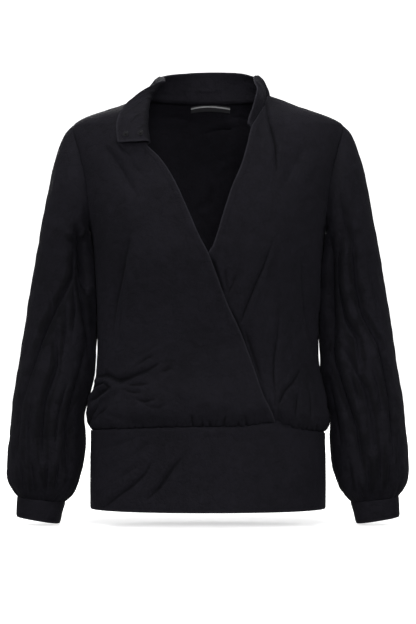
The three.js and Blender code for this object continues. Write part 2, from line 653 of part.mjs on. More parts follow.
// A tube's wall whose rings may double their number of points from one ring to the next.
function tubeGeometry(outer, inner) {
  const positions = [];
  const starts = [[], []];
  [outer, inner].forEach((grid, side) => {
    for (const row of grid) {
      starts[side].push(positions.length / 3);
      for (const point of row) positions.push(point.x, point.y, point.z);
    }
  });
  const indices = [];
  const face = (side, a, b, c) => (side === 0 ? indices.push(a, b, c) : indices.push(a, c, b));
  [outer, inner].forEach((grid, side) => {
    for (let i = 0; i < grid.length - 1; i += 1) {
      const upper = grid[i].length;
      const lower = grid[i + 1].length;
      const top = (j) => starts[side][i] + (j % upper);
      const bottom = (j) => starts[side][i + 1] + (j % lower);
      for (let j = 0; j < upper; j += 1) {
        if (upper === lower) {
          face(side, top(j), bottom(j), bottom(j + 1));
          face(side, top(j), bottom(j + 1), top(j + 1));
        } else {
          face(side, top(j), bottom(2 * j), bottom(2 * j + 1));
          face(side, top(j), bottom(2 * j + 1), top(j + 1));
          face(side, top(j + 1), bottom(2 * j + 1), bottom(2 * j + 2));
        }
      }
    }
  });
  const rim = (ring, first) => {
    const count = outer[ring].length;
    for (let j = 0; j < count; j += 1) {
      const next = (j + 1) % count;
      const [a, b] = first ? [j, next] : [next, j];
      const o = starts[0][ring];
      const n = starts[1][ring];
      indices.push(o + a, o + b, n + b, o + a, n + b, n + a);
    }
  };
  rim(0, true);
  rim(outer.length - 1, false);
  const geometry = new THREE.BufferGeometry();
  geometry.setAttribute('position', new THREE.Float32BufferAttribute(positions, 3));
  geometry.setIndex(indices);
  return facingOut(geometry);
}

const mirrored = (grid) => grid.map((row) => row.map((p) => new THREE.Vector3(-p.x, p.y, p.z)));

function addTube(name, outer, thickness, material) {
  const normals = gridNormals(outer, true, 1);
  const middle = outer.at(-1).reduce((sum, p) => sum.add(p), new THREE.Vector3())
    .divideScalar(outer.at(-1).length);
  const pointsOut = normals.at(-1)[0].dot(outer.at(-1)[0].clone().sub(middle)) > 0 ? 1 : -1;
  const inner = movedInward(outer, normals, thickness * pointsOut);
  addPart(`${name}_left`, tubeGeometry(outer, inner), material);
  addPart(`${name}_right`, tubeGeometry(mirrored(outer), mirrored(inner)), material);
}

addTube('sleeve', sleeveGrid(), CLOTH, JERSEY);

const cuffGrid = CUFF.map((section) => Array.from({ length: CUFF_COLUMNS }, (_, j) => (
  sectionPoint(section, (360 * j) / CUFF_COLUMNS)
)));
addTube('cuff', cuffGrid, DOUBLE_CLOTH, FIRM_JERSEY);

// Collar

// The neck seam as angles and heights on the body, from the left front edge round the back.
function neckSeam() {
  const steps = (count, from, to) => Array.from({ length: count }, (_, i) => lerp(from, to, i / count));
  const leftEnd = turnAt(leftEdgeAt(NECK_Z), NECK_Z);
  const rightEnd = 360 + turnAt(rightEdgeAt(NECK_Z), NECK_Z);
  const seam = [];
  for (const z of steps(COLLAR_STRIPS.left, COLLAR_LEFT_END, NECK_Z)) {
    seam.push({ turn: turnAt(leftEdgeAt(z), z), z });
  }
  for (const turn of steps(COLLAR_STRIPS.round, leftEnd, rightEnd)) seam.push({ turn, z: NECK_Z });
  for (const z of steps(COLLAR_STRIPS.right, NECK_Z, COLLAR_RIGHT_END)) {
    seam.push({ turn: turnAt(rightEdgeAt(z), z), z });
  }
  seam.push({ turn: turnAt(rightEdgeAt(COLLAR_RIGHT_END), COLLAR_RIGHT_END), z: COLLAR_RIGHT_END });
  return seam;
}

const collarAt = Object.fromEntries(
  ['height', 'base', 'tip', 'crease'].map((name) => [name, tableCurve(COLLAR, 'along', name)]),
);

// Moves a point of the turned-out end forward until it clears the front that it lies on.
function clearOfFront(point) {
  const turn = turnAt(point.x, point.z);
  const surface = panelPoint('front_right', turn, point.z);
  const facing = Math.max(-bodyNormal(turn, point.z).y, 0.3);
  point.y = Math.min(point.y, surface.y - TURNED_AIR / facing);
}

// Points across the collar at each place of the neck seam. Each strip starts at the seam, leans from
// its base angle to its tip angle as it goes, and folds over outwards at its crease.
function collarGrid() {
  const places = neckSeam().map(({ turn, z }) => ({
    point: bodyPoint(turn, z),
    normal: bodyNormal(turn, z),
  }));
  const lengths = [0];
  places.slice(1).forEach((place, i) => {
    lengths.push(lengths[i] + place.point.distanceTo(places[i].point));
  });
  return places.map((place, i) => {
    const along = lengths[i] / lengths.at(-1);
    const before = places[Math.max(i - 1, 0)].point;
    const after = places[Math.min(i + 1, places.length - 1)].point;
    const tangent = after.clone().sub(before).normalize();
    const ahead = place.normal.clone().cross(tangent).normalize();
    const level = new THREE.Vector3(-place.normal.y, place.normal.x, 0).normalize();
    ahead.lerp(level, smoothstep(along, LEVEL_FROM, LEVEL_TO)).normalize();
    const start = place.point.clone().addScaledVector(ahead, SEAM_GAP + 0.4);
    const step = collarAt.height(along) / COLLAR_STEPS;
    const crease = collarAt.crease(along);
    const strip = [start];
    for (let k = 0; k < COLLAR_STEPS; k += 1) {
      const share = (k + 0.5) / COLLAR_STEPS;
      const folded = smoothstep(share, crease - CREASE_WIDTH / 2, crease + CREASE_WIDTH / 2);
      const angle = rad(lerp(collarAt.base(along), collarAt.tip(along), share) + CREASE_TURN * folded);
      const point = strip[k].clone()
        .addScaledVector(ahead, step * Math.cos(angle))
        .addScaledVector(place.normal, step * Math.sin(angle));
      if (folded > 0.5) clearOfFront(point);
      strip.push(point);
    }
    return strip;
  });
}

const collarOuter = collarGrid();
const collarNormals = gridNormals(collarOuter, false, -1);
const collarInner = movedInward(collarOuter, collarNormals, DOUBLE_CLOTH);
addPart('collar', wallGeometry(collarOuter, collarInner, false), FIRM_JERSEY);

// Label inside the back of the neck, laid on the back's inner face

function labelGrid(depth) {
  return Array.from({ length: LABEL.rows + 1 }, (_, i) => (
    Array.from({ length: LABEL.columns + 1 }, (__, j) => {
      const x = LABEL.x + LABEL.width * (0.5 - j / LABEL.columns);
      const bend = LABEL.droop * (1 - (2 * j) / LABEL.columns) ** 2; // its two ends hang lower
      const z = LABEL.top - (LABEL.height * i) / LABEL.rows - bend;
      return panelPoint('back', 180 - turnAt(x, z), z, CLOTH + LABEL.air + depth);
    })
  ));
}

addPart('label', wallGeometry(labelGrid(0), labelGrid(LABEL.thickness), false), RIBBON);

// Press studs on the turned-out end of the collar: a flat socket with a round head

function studPlace(across) {
  const spot = Math.round(STUD_ALONG * (collarInner.length - 1));
  const at = across * COLLAR_STEPS;
  const low = Math.floor(at);
  const point = collarInner[spot][low].clone().lerp(collarInner[spot][low + 1], at - low);
  return { point, normal: collarNormals[spot][Math.round(at)].clone().negate() };
}

function addStud({ name, across }) {
  const { radius, height, ballRadius, ballHeight, sides } = STUD;
  const profile = [
    new THREE.Vector2(0, 0),
    new THREE.Vector2(radius, 0),
    new THREE.Vector2(radius, height * 0.5),
    new THREE.Vector2(radius * 0.82, height),
    new THREE.Vector2(ballRadius * 1.3, height),
    new THREE.Vector2(ballRadius, height + ballHeight),
    new THREE.Vector2(0, height + ballHeight),
  ];
  const geometry = new THREE.LatheGeometry(profile, sides);
  const mesh = new THREE.Mesh(geometry, LACQUER);
  const { point, normal } = studPlace(across);
  mesh.name = name;
  mesh.position.copy(point).addScaledVector(normal, SEAM_GAP);
  mesh.quaternion.setFromUnitVectors(new THREE.Vector3(0, 1, 0), normal);
  parts.push(mesh);
}

STUDS.forEach(addStud);

const blouse = new THREE.Group();
blouse.add(...parts);
export default blouse;
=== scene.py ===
# %% [markdown]
# # A wrap blouse in black jersey
#
# The blouse stands filled out, as if worn by nobody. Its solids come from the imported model. Here each
# piece of cloth gets a thin shell of its own on the same form, with the folds, seams and finish that a
# soft jersey shows. Everything is in metres in the end, and the helpers below work in millimetres.

import bmesh
import bpy
import numpy as np
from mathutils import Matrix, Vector


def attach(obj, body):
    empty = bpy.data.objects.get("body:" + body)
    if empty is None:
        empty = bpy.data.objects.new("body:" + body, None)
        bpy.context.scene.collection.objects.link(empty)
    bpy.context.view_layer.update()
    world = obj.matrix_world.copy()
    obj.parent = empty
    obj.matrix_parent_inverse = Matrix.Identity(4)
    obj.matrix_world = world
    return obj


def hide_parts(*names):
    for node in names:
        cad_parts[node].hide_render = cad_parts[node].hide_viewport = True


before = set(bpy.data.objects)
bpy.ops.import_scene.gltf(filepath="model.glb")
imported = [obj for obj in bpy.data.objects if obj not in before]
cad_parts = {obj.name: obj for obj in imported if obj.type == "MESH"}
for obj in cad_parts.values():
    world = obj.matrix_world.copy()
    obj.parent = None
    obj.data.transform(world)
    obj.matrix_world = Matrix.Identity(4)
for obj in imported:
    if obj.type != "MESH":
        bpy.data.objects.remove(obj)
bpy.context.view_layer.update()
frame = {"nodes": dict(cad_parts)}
scene = bpy.context.scene
MM = 0.001
print("nodes:", ", ".join(frame["nodes"]))

# %% [markdown]
# ## Camera
#
# The photograph was taken level, from in front, with a long lens. A camera 4 m away at the middle of the
# garment sees the hem as a gentle curve, as the photograph does. The picture is 624 pixels high and one
# pixel is 1.55 mm in the plane of the side seams, which settles the lens.

# %% Camera
PICTURE_HEIGHT = 624  # pixels
PIXEL = 1.55  # millimetres in the plane of the side seams
DISTANCE = 4000.0
EYE_HEIGHT = -331.7
SENSOR = 36.0
FAR_CLIP = 50.0  # metres

camera_data = bpy.data.cameras.new("camera")
camera_data.sensor_width = SENSOR
camera_data.lens = SENSOR * DISTANCE / (PICTURE_HEIGHT * PIXEL)
camera_data.clip_end = FAR_CLIP
camera = bpy.data.objects.new("camera", camera_data)
camera.location = (0.0, -DISTANCE * MM, EYE_HEIGHT * MM)
camera.rotation_euler = (np.pi / 2, 0.0, 0.0)
scene.collection.objects.link(camera)
scene.camera = camera
print(f"lens {camera_data.lens:.1f} mm")

# %% [markdown]
# ## Light, backdrop and floor
#
# The photograph has plain white round a nearly black garment, lit softly from the front and above, a
# little from the left. Wide area lights give that. The floor lies just under the cuffs, and a wide white
# tent stands all round, so only the faint shadow under the hem shows where the floor is: a shadow that
# the lamps cast, deepened by a painted shadow in the floor's glow.

# %% Light, backdrop and floor
FLOOR_Z = -0.6625
WORLD_LIGHT = 0.30
# columns: name, place, target, edge of the square, all in metres, and power in watts
LIGHTS = [
    ("key", (-2.1, -1.7, 1.5), (0.0, 0.0, -0.25), 0.8, 37.0),
    ("front", (0.2, -3.5, 0.45), (0.0, 0.0, -0.2), 1.0, 66.0),
    ("fill", (2.4, -1.5, 0.4), (0.0, 0.0, -0.35), 1.2, 16.0),
    ("top", (0.0, -0.2, 2.3), (0.0, 0.0, -0.3), 1.2, 34.0),
    ("back", (-0.6, 3.0, 1.2), (0.0, 0.0, -0.3), 1.6, 55.0),
]


def area_light(name, place, target, size, power):
    """A square soft box at place, turned towards target."""
    data = bpy.data.lights.new(name, "AREA")
    data.shape = "SQUARE"
    data.size = size
    data.energy = power
    lamp = bpy.data.objects.new(name, data)
    lamp.location = place
    toward = Vector(target) - Vector(place)
    lamp.rotation_euler = toward.to_track_quat("-Z", "Y").to_euler()
    scene.collection.objects.link(lamp)


for lamp_row in LIGHTS:
    area_light(*lamp_row)

world = bpy.data.worlds.new("studio")
scene.world = world
world.use_nodes = True
background = world.node_tree.nodes["Background"]
background.inputs["Color"].default_value = (1.0, 1.0, 1.0, 1.0)
background.inputs["Strength"].default_value = WORLD_LIGHT
scene.view_settings.view_transform = "Standard"

# %% [markdown]
# ## Surfaces from arrays
#
# Every piece of cloth is a function of two parameters, worked out as whole arrays. These helpers turn
# tables into smooth curves and grids of points into meshes. The texture coordinates are real lengths
# along the cloth, so that the knit has the same gauge everywhere.


# %% Curves and grids
# depths of fold troughs and wide pockets, kept as the hollow attribute that paints shade into the cloth's
# colour
FOLD_REACH = 3  # grid cells over which a fold's own hollow is measured
POCKET_REACH = 12  # and a wide pocket's
POCKET_FROM = 1.5  # millimetres of depth before a pocket counts
POCKET_SHARE = 0.1
RIM_WIDTH = 2.0


def smoothstep(value, low, high):
    """0 below low, 1 above high, and 3t^2 - 2t^3 between them."""
    t = np.clip((value - low) / (high - low), 0.0, 1.0)
    return t * t * (3 - 2 * t)


def table_curve(knots, values):
    """A smooth curve through a table, with no overshoot: each tangent is the harmonic mean of the two
    slopes beside it, or 0 where they differ in sign."""
    order = np.argsort(knots)
    xs, ys = np.asarray(knots, float)[order], np.asarray(values, float)[order]
    slopes = np.diff(ys) / np.diff(xs)
    product = slopes[:-1] * slopes[1:]
    total = np.where(product > 0, slopes[:-1] + slopes[1:], 1.0)
    inner = np.where(product > 0, 2 * product / total, 0.0)
    tangents = np.concatenate((slopes[:1], inner, slopes[-1:]))

    def at(value):
        x = np.clip(value, xs[0], xs[-1])
        i = np.clip(np.searchsorted(xs, x, side="right") - 1, 0, len(xs) - 2)
        width = xs[i + 1] - xs[i]
        t = (x - xs[i]) / width
        h = t * t * (3 - 2 * t)
        bend = tangents[i] * t * (1 - t) ** 2 - tangents[i + 1] * t * t * (1 - t)
        return ys[i] * (1 - h) + ys[i + 1] * h + width * bend

    return at


def unit(vectors):
    """Each vector divided by its own length."""
    return vectors / np.maximum(np.linalg.norm(vectors, axis=-1, keepdims=True), 1e-12)


def grid_normals(grid, closed=False):
    """Cross product of the differences along a row and down a column."""
    if closed:
        across = np.roll(grid, -1, axis=1) - np.roll(grid, 1, axis=1)
    else:
        across = np.gradient(grid, axis=1)
    return unit(np.cross(across, np.gradient(grid, axis=0)))


def run_from_start(grid, axis):
    """Sum of the steps along each line of the grid, up to each point."""
    steps = np.linalg.norm(np.diff(grid, axis=axis), axis=-1)
    return np.insert(np.cumsum(steps, axis=axis), 0, 0.0, axis=axis)


def run_lengths(grid, axis):
    """Length run along the grid up to each point, measured from the middle of each line."""
    run = run_from_start(grid, axis)
    return run - np.take(run, [run.shape[axis] // 2], axis=axis)


def wrapped_round(grid, closed):
    """The grid with its first column again after the last where it is closed."""
    return np.concatenate((grid, grid[:, :1]), axis=1) if closed else grid


def grid_faces(rows, columns, closed):
    """Corners of one quad per grid cell, row by row, as numbers of the grid's points. It returns the
    cells' rows and columns too."""
    i, j = np.meshgrid(np.arange(rows - 1), np.arange(columns - (not closed)), indexing="ij")
    after = (j + 1) % columns
    corners = [i * columns + j, i * columns + after, (i + 1) * columns + after, (i + 1) * columns + j]
    return np.stack(corners, axis=-1).reshape(-1, 4), i, j


def hollows(grid, closed, reach):
    """How far each point lies inside the mean of its neighbours, in millimetres: above 0 in a trough.
    The mean runs over a square of the grid, first down its columns and then along its rows."""
    rows, columns = grid.shape[:2]
    mean = grid
    for axis, count in ((0, rows), (1, columns)):
        places = np.arange(count)[:, None] + np.arange(-reach, reach + 1)
        if closed and axis == 1:
            places = places % count
        else:
            own = np.arange(count)[:, None]
            room = np.minimum(np.minimum(own, count - 1 - own), reach)
            places = np.clip(places, own - room, own + room)
        mean = np.take(mean, places, axis=axis).mean(axis=axis + 1)
    return np.sum((mean - grid) * grid_normals(grid, closed), axis=-1)


def rim_wear(grid, free_edges):
    """1 on the grid's free edges, falling off as a bell. free_edges has pairs of an axis and whether it
    is the last row or column."""
    wear = np.zeros(grid.shape[:2])
    for axis, last in free_edges:
        run = run_lengths(grid, axis)
        away = np.abs(run - np.take(run, [-1 if last else 0], axis=axis))
        wear = np.maximum(wear, np.exp(-((away / RIM_WIDTH) ** 2)))
    return wear


def point_values(mesh, name, values):
    """Keeps one number for each of the mesh's points as an attribute."""
    made = mesh.attributes.new(name, "FLOAT", "POINT")
    made.data.foreach_set("value", values.astype(np.float32).ravel())


def sheet_mesh(name, grid, closed, thickness, material, free_edges):
    """A mesh of one quad per grid cell, given its thickness inwards by Solidify. It keeps its hollows and
    its worn free edges as attributes, for the cloth's colour: the hollows for painted shade in the folds."""
    faces, i, j = grid_faces(*grid.shape[:2], closed)
    mesh = bpy.data.meshes.new(name)
    mesh.from_pydata((grid * MM).reshape(-1, 3).tolist(), [], faces.tolist())
    wide = wrapped_round(grid, closed)
    uv_at = np.stack((run_lengths(wide, 1), run_lengths(wide, 0)), axis=-1) * MM
    uv_faces = np.stack(
        [uv_at[i, j], uv_at[i, j + 1], uv_at[i + 1, j + 1], uv_at[i + 1, j]], axis=2
    ).reshape(-1, 2)
    layer = mesh.uv_layers.new(name="cloth")
    layer.data.foreach_set("uv", uv_faces.astype(np.float32).ravel())
    # the hollow attribute is for painted shade: narrow fold troughs, plus a share of wide pockets
    pockets = POCKET_SHARE * np.maximum(hollows(grid, closed, POCKET_REACH) - POCKET_FROM, 0)
    point_values(mesh, "hollow", np.maximum(hollows(grid, closed, FOLD_REACH), 0) + pockets)
    point_values(mesh, "rim", rim_wear(grid, free_edges))
    mesh.polygons.foreach_set("use_smooth", np.ones(len(faces), bool))
    mesh.materials.append(material)
    piece = bpy.data.objects.new(name, mesh)
    scene.collection.objects.link(piece)
    wall = piece.modifiers.new("wall", "SOLIDIFY")
    wall.thickness = thickness * MM
    wall.offset = -1.0
    wall.use_even_offset = False
    mesh.update()
    return piece


print("helpers ready")

# %% [markdown]
# ## Folds
#
# A fold in cloth is a trough with a softer ridge beside it. It is deepest part of the way along and fades
# at both ends. Each one below is a short path on the cloth, placed where the photograph shows it, with its
# own width and depth. Gathers are many short folds that run from a seam, uneven in place, length
# and depth. A slow ripple under them all stands for the cloth's own unevenness.


# %% Fold helpers
RIDGE_SHARE = 0.5
FOLD_ENDS = 0.55  # power of the taper: the lower, the longer the fold keeps its depth


def fold_table(*rows):
    """Rows of width, depth, the ridge's share, the side that it is on, and the points of the path."""
    return [dict(width=w, depth=d, ridge=r, side=s, path=path) for w, d, r, s, *path in rows]


def crease(x, z, path, width, depth, ridge, side):
    """Depth at (x, z) of one fold: a sharp bell in a wide one across its path, tapered along it as a
    power of a sine, plus a lower and wider bell of the other sign beside it."""
    points = np.asarray(path, float)
    starts, steps = points[:-1], np.diff(points, axis=0)
    sizes = np.linalg.norm(steps, axis=1)
    before = np.concatenate(([0.0], np.cumsum(sizes)[:-1]))
    best = np.full(np.shape(x), 1e9)
    along, signed = np.zeros_like(best), np.zeros_like(best)
    for start, step, size, run in zip(starts, steps, sizes, before):
        dx, dz = x - start[0], z - start[1]
        t = np.clip((dx * step[0] + dz * step[1]) / size**2, 0.0, 1.0)
        away = np.hypot(dx - t * step[0], dz - t * step[1])
        nearer = away < best
        best = np.where(nearer, away, best)
        along = np.where(nearer, (run + t * size) / sizes.sum(), along)
        turn = np.sign(step[0] * dz - step[1] * dx)
        signed = np.where(nearer, away * turn, signed)
    taper = np.sin(np.pi * np.clip(along, 0.02, 0.98)) ** FOLD_ENDS
    trough = 0.62 * np.exp(-((best / (0.45 * width)) ** 2))
    trough = trough + 0.4 * np.exp(-((best / (1.2 * width)) ** 2))
    beside = np.exp(-(((signed - side * 1.8 * width) / (1.3 * width)) ** 2))
    return depth * taper * (trough - RIDGE_SHARE * ridge * beside)


def folds_at(x, z, folds):
    """Sum of the folds of one table at each point."""
    return sum((crease(x, z, **fold) for fold in folds), np.zeros(np.shape(x)))


def gathers_at(across, away, seed, count, span, reach, width, depth):
    """Short folds that start on a seam. across runs along the seam and away is the distance from it:
    each is a bell across, and falls off as a bell with its own reach."""
    pick = np.random.default_rng(seed)
    places = np.linspace(span[0], span[1], count) + pick.uniform(-0.35, 0.35, count) * (
        (span[1] - span[0]) / count
    )
    lengths, depths = reach * pick.uniform(0.5, 1.4, count), depth * pick.uniform(0.4, 1.3, count)
    leans = pick.uniform(-0.25, 0.25, count)
    total = np.zeros(np.shape(across))
    for place, length, deep, lean in zip(places, lengths, depths, leans):
        off = (across - place - lean * away) / width
        total += deep * np.exp(-(off**2)) * np.exp(-((away / length) ** 2))
    return total


def ripple(a, b, seed, size=0.5, shortest=28.0, longest=110.0, count=14):
    """Slow unevenness: a sum of sine waves of random heading, wavelength and phase."""
    pick = np.random.default_rng(seed)
    total = np.zeros(np.shape(a))
    for _ in range(count):
        wave = pick.uniform(shortest, longest)
        heading, phase = pick.uniform(0, np.pi), pick.uniform(0, 2 * np.pi)
        total += wave / longest * np.sin(
            2 * np.pi * (a * np.cos(heading) + b * np.sin(heading)) / wave + phase
        )
    return size * total / np.sqrt(count / 2)


def fine_ripple(a, b, seed, size=0.2):
    """The same with waves of 8 to 26 mm."""
    return ripple(a, b, seed, size, 8.0, 26.0, 40)


# %% [markdown]
# ## The body's form
#
# Seen from above, a body is a rounded oval, flatter behind than in front. The body here is a stack of
# such ovals: at each height a table gives half its width at the side seams and how far the front and the
# back stand from them. These are the same tables that the solids are built from, so the shells lie
# on the solids.

# %% Body tables
CLOTH = 1.4
DOUBLE_CLOTH = 2.0
SEAM_GAP = 0.35
NECK_Z = 2.0
NECK_DIP = 3.0  # how much lower the neck seam lies at the middle of the back
NECK_DIP_FROM = -40.0
TIP_Z = -43.0  # the shoulder's tip
ARMPIT_Z = -205.0
HEM_Z = -635.0
ROUNDNESS = 2 / 2.3
ARMHOLE_FRONT = 24.0  # degrees that the armhole cuts into the front
ARMHOLE_BACK = 26.0

# columns: height, half width at the side seams, depth of the front, depth of the back
BODY = np.array([
    (HEM_Z, 182.5, 114, 105), (-560, 182.5, 114.5, 105), (-530, 181.5, 114.5, 105),
    (-516, 181.5, 115, 105.5), (-510, 185, 117, 108.5), (-503, 188, 119.5, 111),
    (-492, 188.5, 122.5, 112), (-478, 184.5, 124, 109), (-455, 179, 122.5, 103),
    (-425, 173.5, 118, 97), (-390, 171.5, 117, 94), (-340, 172, 122, 96),
    (-280, 174, 131, 102), (-235, 178, 136, 106), (ARMPIT_Z, 183, 134, 108),
    (-160, 196, 127, 107), (-120, 205, 116, 103), (-90, 210, 105, 99),
    (-60, 212, 90, 93), (TIP_Z, 209, 79, 88.5), (-37, 202, 74, 86.5),
    (-31, 191, 69, 84), (-25, 175, 63, 81.5), (-19, 157, 56, 78),
    (-12, 136, 47, 74), (-6, 121, 39, 69), (-2, 111, 34, 66),
    (NECK_Z, 97, 28, 62),
])
# columns: height, distance to the side, of each front's free edge
RIGHT_EDGE = np.array([
    (-520, 103), (-494, 96), (-456, 83), (-429, 74), (-359, 48),
    (-317, 28.5), (-242, 0), (-219, -12), (-174, -31.5), (-128, -53),
    (-98, -73), (-86, -85), (-78, -92), (-50, -96), (-20, -95),
    (NECK_Z, -91),
])
LEFT_EDGE = np.array([
    (-520, -103), (-494, -96), (-429, -74), (-359, -48), (-317, -28.5),
    (-243, 0), (-234, 6), (-180, 23.5), (-142, 36), (-109, 50),
    (-78, 59), (-49, 66), (-37, 73), (-25, 80), (-12, 87),
    (NECK_Z, 91),
])
# columns: angle round the body from the centre of the front, height of the waist seam
WAIST_SEAM = np.array([
    (-180, -515), (-90, -513), (-45, -510), (-10, -505.5), (10, -505.5),
    (24, -500.5), (31, -499), (38, -506), (50, -512), (90, -517),
    (180, -515),
])

side_at = table_curve(BODY[:, 0], BODY[:, 1])
front_at = table_curve(BODY[:, 0], BODY[:, 2])
back_at = table_curve(BODY[:, 0], BODY[:, 3])
right_edge_at = table_curve(RIGHT_EDGE[:, 0], RIGHT_EDGE[:, 1])
left_edge_at = table_curve(LEFT_EDGE[:, 0], LEFT_EDGE[:, 1])
waist_seam_at = table_curve(WAIST_SEAM[:, 0], WAIST_SEAM[:, 1])


def body(turn, z):
    """Point of the plain body: an oval whose squareness is 2.3, at an angle in degrees from the centre
    of the front. The neck seam dips a little at the back."""
    turn, z = np.broadcast_arrays(np.asarray(turn, float), np.asarray(z, float))
    across, ahead = np.sin(np.radians(turn)), np.cos(np.radians(turn))
    depth = np.where(ahead > 0, front_at(z), back_at(z))
    low = np.where(ahead < 0, NECK_DIP * ahead**2 * smoothstep(z, NECK_DIP_FROM, NECK_Z), 0.0)
    return np.stack(
        (
            side_at(z) * np.sign(across) * np.abs(across) ** ROUNDNESS,
            -depth * np.sign(ahead) * np.abs(ahead) ** ROUNDNESS,
            z - low,
        ),
        axis=-1,
    )


def body_normal(turn, z):
    """Cross product of small steps round the body and up it."""
    step = 0.5
    low = np.minimum(z, NECK_Z - step)
    round_it = body(turn + step, z) - body(turn - step, z)
    up = body(turn, low + step) - body(turn, low - step)
    return unit(np.cross(round_it, up))


def turn_at(x, z):
    """Angle round the body at which its front lies x to the side."""
    share = np.minimum(np.abs(x) / side_at(z), 1.0)
    return np.sign(x) * np.degrees(np.arcsin(share ** (1 / ROUNDNESS)))


chest_deep = front_at(ARMPIT_Z) + back_at(ARMPIT_Z)
print(f"chest {2 * side_at(ARMPIT_Z):.0f} mm wide, {chest_deep:.0f} mm deep")

# %% [markdown]
# ## Folds of the body
#
# The fronts hang from the shoulders and are pulled across each other, so long folds fall from the
# shoulders and slant towards the crossing. At the waist the cloth blouses over the band: on the wearer's
# right it is caught up into a knot of short folds near the side seam. Each row is one fold, and its path is
# a few points, given as distance to the side and height.

# %% Fold tables of the body
# columns: width, depth (below 0 for a trough), share of the ridge beside it, its side, points of the path
RIGHT_FOLDS = fold_table(
    (4.5, -3, 0.5, -1, (-142, -70), (-131, -82), (-118, -96)),
    (10, -4.2, 0.3, -1, (-159, -78), (-139, -104), (-127, -123), (-108, -156)),
    (6, -1.6, 0.5, 1, (-118, -96), (-112, -112), (-96, -128)),
    (12, -9, 0.3, 1, (-118, -215), (-127, -246), (-135, -279), (-144, -315), (-153, -385)),
    (6, 2, 0, 1, (-150, -300), (-158, -344), (-164, -390)),
    (5, -2.2, 0.3, 1, (-130, -325), (-135, -351), (-142, -386)),
    (5, -8, 0.5, -1, (-172, -432), (-156, -428), (-138, -435), (-118, -432)),
    (5, -4, 0.5, 1, (-134, -436), (-112, -428), (-92, -420), (-72, -408)),
    (4.5, -2.4, 0.5, 1, (-110, -414), (-94, -402), (-80, -396)),
    (4.5, -3.6, 0.5, -1, (-140, -438), (-116, -442), (-90, -440)),
    (4.5, -3, 0.4, 1, (-130, -448), (-114, -453), (-98, -452)),
    (4.5, -2.8, 0.4, 1, (-112, -462), (-96, -467), (-78, -463)),
    (4, -1.8, 0.4, 1, (-92, -474), (-74, -476), (-60, -470)),
    (7, -1.6, 0.3, 1, (-118, -410), (-94, -392), (-72, -377)),
    (5, -1.3, 0.3, 1, (-74, -424), (-50, -414)),
    (6, 7, 0.2, 1, (-186, -474), (-170, -450), (-146, -432)),
    (4, -8, 0.5, 1, (-184, -460), (-174, -446), (-160, -440), (-150, -447)),
    (4.5, -8, 0.5, -1, (-180, -470), (-166, -456), (-152, -446)),
    (5, 6, 0.2, -1, (-182, -484), (-160, -466), (-140, -446)),
    (5.5, -8, 0.4, 1, (-189, -512), (-181, -488), (-162, -466)),
    (4, -3.5, 0.5, 1, (-176, -500), (-168, -486), (-152, -476)),
    (8, -2.5, 0.3, 1, (-168, -486), (-145, -489), (-122, -497)),
    (22, 2.5, 0, 1, (-60, -440), (-20, -462), (30, -470)),
)

LEFT_FOLDS = fold_table(
    (4, -5, 0.45, 1, (86, -2), (92, -34), (97, -56), (103, -80), (104, -122)),
    (8, -2, 0.3, 1, (77, -40), (80, -68), (80, -100)),
    (5, -2.2, 0.3, 1, (114, -18), (117, -54)),
    (12, -2.2, 0.3, 1, (148, -80), (130, -114), (114, -142)),
    (11, -1.6, 0.3, 1, (170, -110), (146, -150)),
    (10, -1.4, 0.3, 1, (172, -144), (136, -172)),
    (4, -2.6, 0.4, 1, (27, -312), (29, -297), (26, -266)),
    (4, -2.2, 0.4, -1, (29, -308), (38, -290), (43, -274)),
    (4, -3.8, 0.5, 1, (97, -228), (84, -263), (72, -291), (60, -320), (48, -354)),
    (5, -2.8, 0.3, 1, (108, -330), (106, -366), (101, -400), (101, -431), (105, -470)),
    (4, -3.6, 0.5, -1, (142, -418), (130, -438), (118, -450), (108, -472)),
    (12, -9, 0.3, 1, (143, -240), (149, -291), (153, -325), (160, -365), (165, -400)),
    (6, -2.5, 0.3, 1, (161, -300), (163, -356)),
    (4, -3, 0.5, 1, (137, -455), (134, -496)),
    (4, -3, 0.5, 1, (154, -436), (158, -473), (157, -500)),
    (4.5, -3, 0.4, 1, (94, -462), (97, -494)),
    (9, -5, 0.2, 1, (52, -350), (66, -386), (77, -422), (85, -452)),
    (12, 3.5, 0, 1, (176, -424), (181, -446), (180, -482)),
)

BACK_FOLDS = fold_table(
    (5, 3.5, 0.4, 1, (6, -160), (14, -141), (19, -124)),
    (4.5, 2.2, 0.5, 1, (-24, -54), (11, -45), (52, -39)),
    (7, 1.8, 0.5, 1, (-70, -92), (-21, -73), (40, -51)),
    (7, 1.6, 0.5, 1, (-48, -108), (-5, -87), (54, -68)),
    (7, 1.6, 0.5, 1, (-16, -122), (22, -98), (60, -82)),
    (5, 2.4, 0.4, 1, (-32, -180), (8, -156)),
    (4, 2.2, 0.5, 1, (-10, -104), (22, -90), (62, -72)),
    (4, 2, 0.5, 1, (2, -128), (30, -112), (58, -100)),
    (4, 1.8, 0.5, 1, (-66, -20), (-30, -30), (-4, -38)),
    (4, 1.8, 0.5, 1, (44, -22), (66, -28), (84, -24)),
    (18, -6, 0.3, 1, (-112, -170), (-100, -280), (-94, -410)),
    (18, -6, 0.3, 1, (116, -180), (104, -290), (92, -420)),
    (11, -5, 0.3, 1, (-34, -300), (-40, -400), (-44, -500)),
    (11, -5, 0.3, 1, (46, -310), (38, -400), (36, -500)),
    (9, -3, 0.3, 1, (4, -350), (0, -420), (-2, -490)),
    (8, -5, 0.3, 1, (-160, -452), (-120, -432), (-78, -414)),
    (8, -5, 0.3, 1, (162, -458), (122, -440), (84, -424)),
    (7, -4, 0.3, 1, (-150, -486), (-118, -470), (-92, -466)),
    (7, -4, 0.3, 1, (150, -490), (120, -474), (88, -470)),
    (13, -3, 0.3, 1, (-150, -60), (-128, -110), (-120, -170)),
    (13, -3, 0.3, 1, (150, -62), (130, -112), (124, -172)),
)

